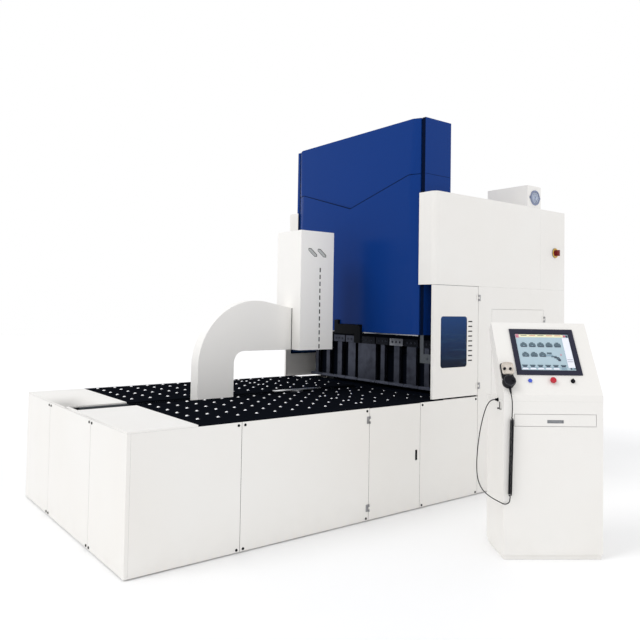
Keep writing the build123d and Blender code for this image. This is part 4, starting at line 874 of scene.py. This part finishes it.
def louvre_screen(shift):
    """One screen, from its corners' distances in millimetres from the head's rear and top."""
    outline = [(82, 161), (116, 161), (183, 215), (183, 236), (149, 236), (82, 182)]
    bpy.ops.mesh.primitive_circle_add(vertices=6, radius=0.03, fill_type="NGON")
    screen = bpy.context.object
    for vertex, (across, down) in zip(screen.data.vertices, outline):
        vertex.co = (HEAD_REAR + (across + shift) / 1000, BACK_SHEET, HEAD_TOP - down / 1000)
    bpy.ops.object.mode_set(mode="EDIT")
    bpy.ops.mesh.select_all(action="SELECT")
    bpy.ops.mesh.inset(thickness=0.0055)
    end_edit()
    screen.data.materials.append(mesh_grey)
    # Painted shade: the dark rim round the screen, where the edge of the opening shades it.
    screen.data.materials.append(gasket_and_shade)
    for face in screen.data.polygons:
        face.material_index = 0 if face.select else 1
    apply_modifier(screen, "SOLIDIFY", thickness=0.0012)
    return screen


settle(joined([louvre_screen(0), louvre_screen(107)]), "louvre_screens", "carriage", "white_paint")

SLOT_X, SLOT_PITCH, FIRST_SLOT = HEAD_REAR + 0.2215, 0.064, HEAD_TOP - 0.357
HEAD_FACE = -0.1903


def slot_backing():
    """A dark strip behind the row of short slots, and a thin black insert outside in each: painted shade seen
    through the slots.
    """
    strip = block((0.018, 0.002, 0.756), (SLOT_X, BACK_SHEET, 1.675), 0.0006)
    insert = block((0.0125, 0.0012, 0.040), bevel=0.0005)
    inserts = copies(insert, [Matrix.Translation((SLOT_X, HEAD_FACE, FIRST_SLOT - SLOT_PITCH * i))
                              for i in range(12)])
    return joined([strip, inserts])


def vent_backing(side):
    """A dark strip behind the vents of a window door: painted shade seen through them."""
    return block((0.068, 0.002, 0.384), (0.2065, side * 1.1128, 1.398), 0.0006)


settle(slot_backing(), "slot_backing", "carriage", "white_paint", gasket_and_shade)
settle(vent_backing(-1), "vent_backing_near", "near_window_door", "white_paint", gasket_and_shade)
settle(vent_backing(1), "vent_backing_far", "far_window_door", "white_paint", gasket_and_shade)

# %% [markdown]
# ## The picture on the screen
# The screen shows the control program: a grid of tool pictures, bars above and below and a column of
# keys. It is built from thin flat tiles on the display, in plain shapes with no lettering, and glows
# a little.

# %% Screen tiles
def glow(name, colour, strength):
    material, tree, shader = new_material(name)
    place = add_node(tree, "TexCoord").outputs["Object"]
    tone = ranged(tree, noise(tree, place, 18, 2), 0.3, 0.7, 0.0, 0.25)
    tint = mixed(tree, tone, (*colour, 1), (*(0.8 * c for c in colour), 1))
    tree.links.new(tint, shader.inputs["Base Color"])
    tree.links.new(tint, shader.inputs["Emission Color"])
    shader.inputs["Emission Strength"].default_value = strength
    shader.inputs["Roughness"].default_value = 0.25
    return material


inks = {"page": (0.36, 0.47, 0.53), "bar": (0.74, 0.70, 0.46), "key": (0.72, 0.74, 0.82),
        "dark": (0.03, 0.04, 0.07), "steel": (0.075, 0.12, 0.15), "mark": (0.50, 0.10, 0.14),
        "shade": (0.22, 0.32, 0.39), "rose": (0.50, 0.22, 0.28)}
for ink, colour in inks.items():
    inks[ink] = glow("screen_" + ink, colour, 0.1 if ink == "dark" else 0.2)
DISPLAY_LOW, DISPLAY_SIZE = (0.1535, 0.1875), (0.391, 0.297)


def screen_tiles():
    """Left, bottom, width and height of each tile in millimetres on the display, and its ink."""
    tiles = [(2, 2, 387, 293, "page"), (2, 288, 387, 7, "dark"), (30, 266, 320, 22, "bar"),
             (4, 260, 24, 30, "rose"), (8, 268, 12, 9, "mark"), (352, 268, 16, 16, "mark"),
             (370, 266, 16, 18, "dark"), (338, 22, 50, 240, "key"), (336, 22, 2, 240, "shade"),
             (2, 20, 334, 4, "shade")]
    for i in range(4):
        tiles.append((42 + 62 * i, 278, 44, 4, "mark" if i % 2 else "dark"))
    tiles += [(290, 278, 44, 4, "mark"), (342, 84, 40, 3, "dark"), (342, 68, 40, 3, "dark")]
    for i in range(5):
        tiles += picture_tiles(26 + 61 * i, 190)
        if i < 3:
            tiles += picture_tiles(26 + 61 * i, 112)
    tiles += [(206, 128, 34, 14, "steel"), (196, 112, 52, 12, "shade"), (232, 104, 40, 10, "steel"),
              (252, 96, 34, 9, "dark"), (266, 84, 26, 16, "steel"), (276, 74, 20, 14, "dark"),
              (300, 118, 10, 12, "rose")]
    for i in range(6):
        tiles += [(10 + 55 * i, 34, 40, 9, "steel"), (16 + 55 * i, 26, 28, 8, "dark"),
                  (10 + 55 * i, 6, 40, 12, "key" if i < 5 else "shade")]
    return tiles + [(350, 8, 12, 12, "dark"), (366, 6, 10, 16, "shade"), (378, 10, 9, 9, "dark")]


def picture_tiles(x, y):
    """A small picture of a press tool over its table."""
    return [(x, y, 50, 16, "steel"), (x + 4, y + 16, 42, 9, "steel"), (x + 15, y + 25, 20, 8, "steel"),
            (x + 3, y - 5, 44, 5, "dark"), (x + 20, y + 3, 10, 5, "shade")]


def screen_picture():
    planes = []
    for i, (x, y, wide, high, ink) in enumerate(screen_tiles()):
        bpy.ops.mesh.primitive_plane_add(size=1)
        tile = bpy.context.object
        layer = 0.0042 + 0.00006 * min(i, 30)
        place = (DISPLAY_LOW[0] + (x + wide / 2) / 1000, DISPLAY_LOW[1] + (y + high / 2) / 1000, layer)
        size = Matrix.Diagonal((wide / 1000, high / 1000, 1, 1))
        tile.matrix_world = SLOPE @ Matrix.Translation(place) @ size
        tile.data.materials.append(inks[ink])
        planes.append(tile)
    return joined(planes)


settle(screen_picture(), "screen_picture", "machine", "display")
print("screen tiles:", len(screen_tiles()))

# %% [markdown]
# ## The pendant
# The hand-held pendant has a soft-edged black case, a pale face plate behind its two knobs, and a
# dial with a ring of divisions. The case is a box with cut corners, united with a round housing under
# the dial, and a tapered strain relief leads to the cord. The plate and the divisions are added on it.

# %% Pendant case, plate and divisions
PENDANT_X, PENDANT_DEPTH, DIAL_Y = 0.042, 0.034, 0.088


def pendant_case():
    """Grip with cut corners, a round housing under the dial and the tapered strain relief."""
    grip = block((0.084, 0.124, PENDANT_DEPTH))
    start_edit(grip, "edges", lambda edge: rise(grip, edge) > 0.01)
    bpy.ops.mesh.bevel(offset=0.016, segments=2, affect="EDGES")
    end_edit()
    grip.matrix_world = SLOPE @ Matrix.Translation((PENDANT_X, 0.170, PENDANT_DEPTH / 2 + 0.0003))
    bpy.ops.mesh.primitive_cylinder_add(vertices=48, radius=0.0418, depth=PENDANT_DEPTH - 0.0004)
    housing = bpy.context.object
    housing.matrix_world = SLOPE @ Matrix.Translation((PENDANT_X, DIAL_Y, PENDANT_DEPTH / 2 + 0.0003))
    apply_modifier(grip, "BOOLEAN", operation="UNION", object=housing)
    bpy.data.objects.remove(housing)
    eased = {"segments": 2, "limit_method": "ANGLE", "angle_limit": math.radians(50)}
    apply_modifier(grip, "BEVEL", width=0.0035, **eased)
    tip = CONSOLE @ Vector(PENDANT_LEAD[-1])
    inner = SLOPE.inverted() @ tip
    root = SLOPE @ Vector((inner.x, 0.050, inner.z))
    along = tip - root
    bpy.ops.mesh.primitive_cone_add(vertices=20, radius1=0.0095, radius2=0.0050, depth=along.length,
                                    location=(root + tip) / 2)
    relief = bpy.context.object
    relief.rotation_mode = "QUATERNION"
    relief.rotation_quaternion = along.to_track_quat("Z", "Y")
    apply_modifier(relief, "BEVEL", width=0.001, **eased)
    case = joined([grip, relief])
    bpy.ops.object.shade_smooth_by_angle(angle=math.radians(40))
    return case


case = settle(pendant_case(), "pendant_case", "machine", slot_of["pendant_body"], plastic)
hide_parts("pendant_body")


def pendant_plate():
    plate = block((0.078, 0.088, 0.0016))
    start_edit(plate, "edges", lambda edge: rise(plate, edge) > 0.001)
    bpy.ops.mesh.bevel(offset=0.018, segments=3, affect="EDGES")
    end_edit()
    plate.matrix_world = SLOPE @ Matrix.Translation((PENDANT_X + 0.002, 0.180, PENDANT_DEPTH + 0.0007))
    return plate


settle(pendant_plate(), "pendant_plate", "machine", "black_plastic", cream)


def dial_divisions():
    tick = block((0.005, 0.0009, 0.0006), bevel=0.0001)
    centre = SLOPE @ Matrix.Translation((PENDANT_X, DIAL_Y, PENDANT_DEPTH + 0.0129))
    outwards = Matrix.Translation((0.038, 0, 0))
    return copies(tick, [centre @ Matrix.Rotation(2 * math.pi * i / 36, 4, "Z") @ outwards
                         for i in range(36)])


settle(dial_divisions(), "dial_divisions", "dial", "black_plastic", pale_grey)

# %% [markdown]
# ## The bright lip under the tower
# Below the blue covers runs a strip of bright steel that catches the light. It follows the plan of the
# covers, bent back at both sides, and stops at the black guide in the middle.

# %% Tower lip
LIP_LEVELS = (1.437, 1.449)


def lip_half(side):
    """The lip from the tower's side to the guide, as a folded strip that gets its thickness last."""
    plan = [(-0.252, 0.913), (-0.284, 0.845), (-0.2945, 0.206)]
    bpy.ops.mesh.primitive_plane_add(size=1)
    strip = bpy.context.object
    mesh = bmesh.new()
    rows = [[mesh.verts.new((x, side * y, z)) for x, y in plan] for z in LIP_LEVELS]
    for i in range(len(plan) - 1):
        corners = (rows[0][i], rows[0][i + 1], rows[1][i + 1], rows[1][i])
        mesh.faces.new(corners if side < 0 else corners[::-1])
    mesh.to_mesh(strip.data)
    mesh.free()
    apply_modifier(strip, "SOLIDIFY", thickness=0.010, offset=-1)
    apply_modifier(strip, "BEVEL", width=0.002, segments=2)
    bpy.ops.object.shade_smooth_by_angle(angle=math.radians(40))
    return strip


settle(joined([lip_half(-1), lip_half(1)]), "tower_lip", "machine", "blue_paint", lip_steel)

# %% [markdown]
# ## Small trim
# A few thin parts finish the look: a black gasket where the arm meets the head, the grey finger tray in
# the drawer, the yellow ring round the main switch, a dark bead in the V-shaped joint of the tower's
# covers, the seams on its sides and the wire rings over the fan. The bead is drawn corner by corner,
# and the others are primitives that are shaped a little.

# %% Gasket, finger tray, switch ring, seams, bead and wires
def arm_gasket():
    """One strip on each side of the arm, where it enters the head."""
    strip = block((0.005, 0.004, 0.379), bevel=0.0012, segments=2)
    return copies(strip, [Matrix.Translation((-1.0365, y, 1.4795)) for y in (-0.0645, 0.0645)])


def finger_tray():
    """The shallow tray in the drawer's front that a finger pulls."""
    tray = block((0.112, 0.009, 0.020))
    start_edit(tray, "polygons", lambda face: face.normal.y < -0.9)
    bpy.ops.mesh.inset(thickness=0.0016)
    bpy.ops.mesh.inset(thickness=0.0008, depth=-0.006)
    end_edit()
    tray.matrix_world = CONSOLE @ Matrix.Translation((0.357, 0.0048, 0.929))
    return tray


def switch_ring():
    bpy.ops.mesh.primitive_torus_add(major_segments=48, minor_segments=8, major_radius=0.0415,
                                     minor_radius=0.0085)
    ring = bpy.context.object
    ring.scale = (1, 1, 0.3)
    ring.rotation_euler = (math.radians(90), 0, 0)
    ring.location = (1.540, -1.1255, 2.280)
    bpy.ops.object.shade_smooth()
    return ring


def tower_seams():
    """The joint of the blue covers goes on along both sides of the tower."""
    low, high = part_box("tower_shell")
    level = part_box("tower_cover_lower")[1][2] + 0.0015
    seam = block((high[0] - low[0] - 0.03, 0.0012, 0.003), bevel=0.0004)
    middle = (low[0] + high[0]) / 2
    return copies(seam, [Matrix.Translation((middle, y, level)) for y in (low[1] - 0.0003, high[1] + 0.0003)])


SEAM_SIDE, SEAM_POINT, BEAD = 2.895, 2.669, 0.0064   # levels of the V-shaped joint, height of its bead
UPPER_FACE = -0.2840                                 # just inside the upper cover's front


def cover_seam():
    """A thin dark bead in the V-shaped joint of the two front covers.

    The lower cover has a crease, so the bead stands out with it, up to 14 mm at the point of the V.
    """
    bpy.ops.mesh.primitive_plane_add(size=1)
    strip = bpy.context.object
    mesh = bmesh.new()
    half = [(x, y, SEAM_SIDE) for x, y in ((-0.2520, 0.911), (-0.2856, 0.844), (-0.2864, 0.795))]
    path = [(x, -y, z) for x, y, z in half] + [(-0.2996, 0, SEAM_POINT)] + half[::-1]
    rings = []
    for x, y, z in path:
        back, low, high = max(x + 0.003, UPPER_FACE), z - BEAD / 2, z + BEAD / 2
        rings.append([mesh.verts.new(place)
                      for place in ((x, y, low), (x, y, high), (back, y, high), (back, y, low))])
    for near, far in zip(rings, rings[1:]):
        for i in range(4):
            mesh.faces.new((near[i], near[(i + 1) % 4], far[(i + 1) % 4], far[i]))
    mesh.faces.new(rings[0][::-1])
    mesh.faces.new(rings[-1])
    bmesh.ops.recalc_face_normals(mesh, faces=mesh.faces[:])
    mesh.to_mesh(strip.data)
    mesh.free()
    return strip


def fan_wires():
    """Rings of pale wire over the fan."""
    low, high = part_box("fan_guard")
    rings = []
    for i in range(8):
        bpy.ops.mesh.primitive_torus_add(major_segments=40, minor_segments=6, major_radius=0.012 + 0.0062 * i,
                                         minor_radius=0.0016,
                                         location=((low[0] + high[0]) / 2, -1.1228, (low[2] + high[2]) / 2),
                                         rotation=(math.radians(90), 0, 0))
        bpy.ops.object.shade_smooth()
        rings.append(bpy.context.object)
    return joined(rings)


settle(joined([tower_seams(), cover_seam()]), "tower_seams", "machine", "blue_paint", joint_and_shade_blue)
settle(fan_wires(), "fan_wires", "machine", slot_of["fan_guard"], ice)
settle(arm_gasket(), "arm_gasket", "carriage", "white_paint", gasket_and_shade)
settle(finger_tray(), "finger_tray", "drawer", "white_paint", pale_grey)
settle(switch_ring(), "switch_ring", "machine", slot_of["isolator_base"], yellow)

# %% [markdown]
# ## Floor, light and background
# A pale floor carries the shadow. The world lights the machine evenly and shows white to the camera
# and to reflections. Two broad suns are added: a strong one from the photographer's left, and a weak
# and very soft one from the right.

# %% Stage and light
def add_floor():
    bpy.ops.mesh.primitive_plane_add(size=60, location=(0, 0, -0.0005))
    floor = bpy.context.object
    floor.name = "floor"
    material, tree, shader = new_material("pale_floor")
    place = add_node(tree, "TexCoord").outputs["Object"]
    tone = ranged(tree, noise(tree, place, 0.6, 3), 0.3, 0.7, 0.0, 1.0)
    tree.links.new(mixed(tree, tone, (1.0, 1.0, 1.0, 1), (0.98, 0.98, 0.98, 1)), shader.inputs["Base Color"])
    shader.inputs["Roughness"].default_value = 0.6
    floor.data.materials.append(material)


def add_world():
    world = bpy.data.worlds.new("studio")
    bpy.context.scene.world = world
    world.use_nodes = True
    tree = world.node_tree
    shown = tree.nodes["Background"]
    shown.inputs["Color"].default_value, shown.inputs["Strength"].default_value = (1, 1, 1, 1), 1.0
    lit = add_node(tree, "Background", Color=(0.98, 0.985, 1.0, 1), Strength=0.90)
    path = add_node(tree, "LightPath").outputs
    seen = maths(tree, "MAXIMUM", path["Is Camera Ray"], path["Is Glossy Ray"])
    mix = add_node(tree, "MixShader")
    tree.links.new(maths(tree, "MAXIMUM", seen, path["Is Transmission Ray"]), mix.inputs[0])
    tree.links.new(lit.outputs[0], mix.inputs[1])
    tree.links.new(shown.outputs[0], mix.inputs[2])
    tree.links.new(mix.outputs[0], tree.nodes["World Output"].inputs["Surface"])


def add_sun(direction, strength, spread):
    bpy.ops.object.light_add(type="SUN", location=(0, 0, 8))
    sun = bpy.context.object
    sun.data.energy, sun.data.angle = strength, math.radians(spread)
    sun.rotation_mode = "QUATERNION"
    sun.rotation_quaternion = Vector(direction).to_track_quat("-Z", "Y")


add_floor()
add_world()
add_sun((0.72, -0.16, -0.68), 0.74, 25)
add_sun((-0.40, 0.86, -0.32), 0.20, 60)
bpy.context.scene.view_settings.view_transform = "Standard"
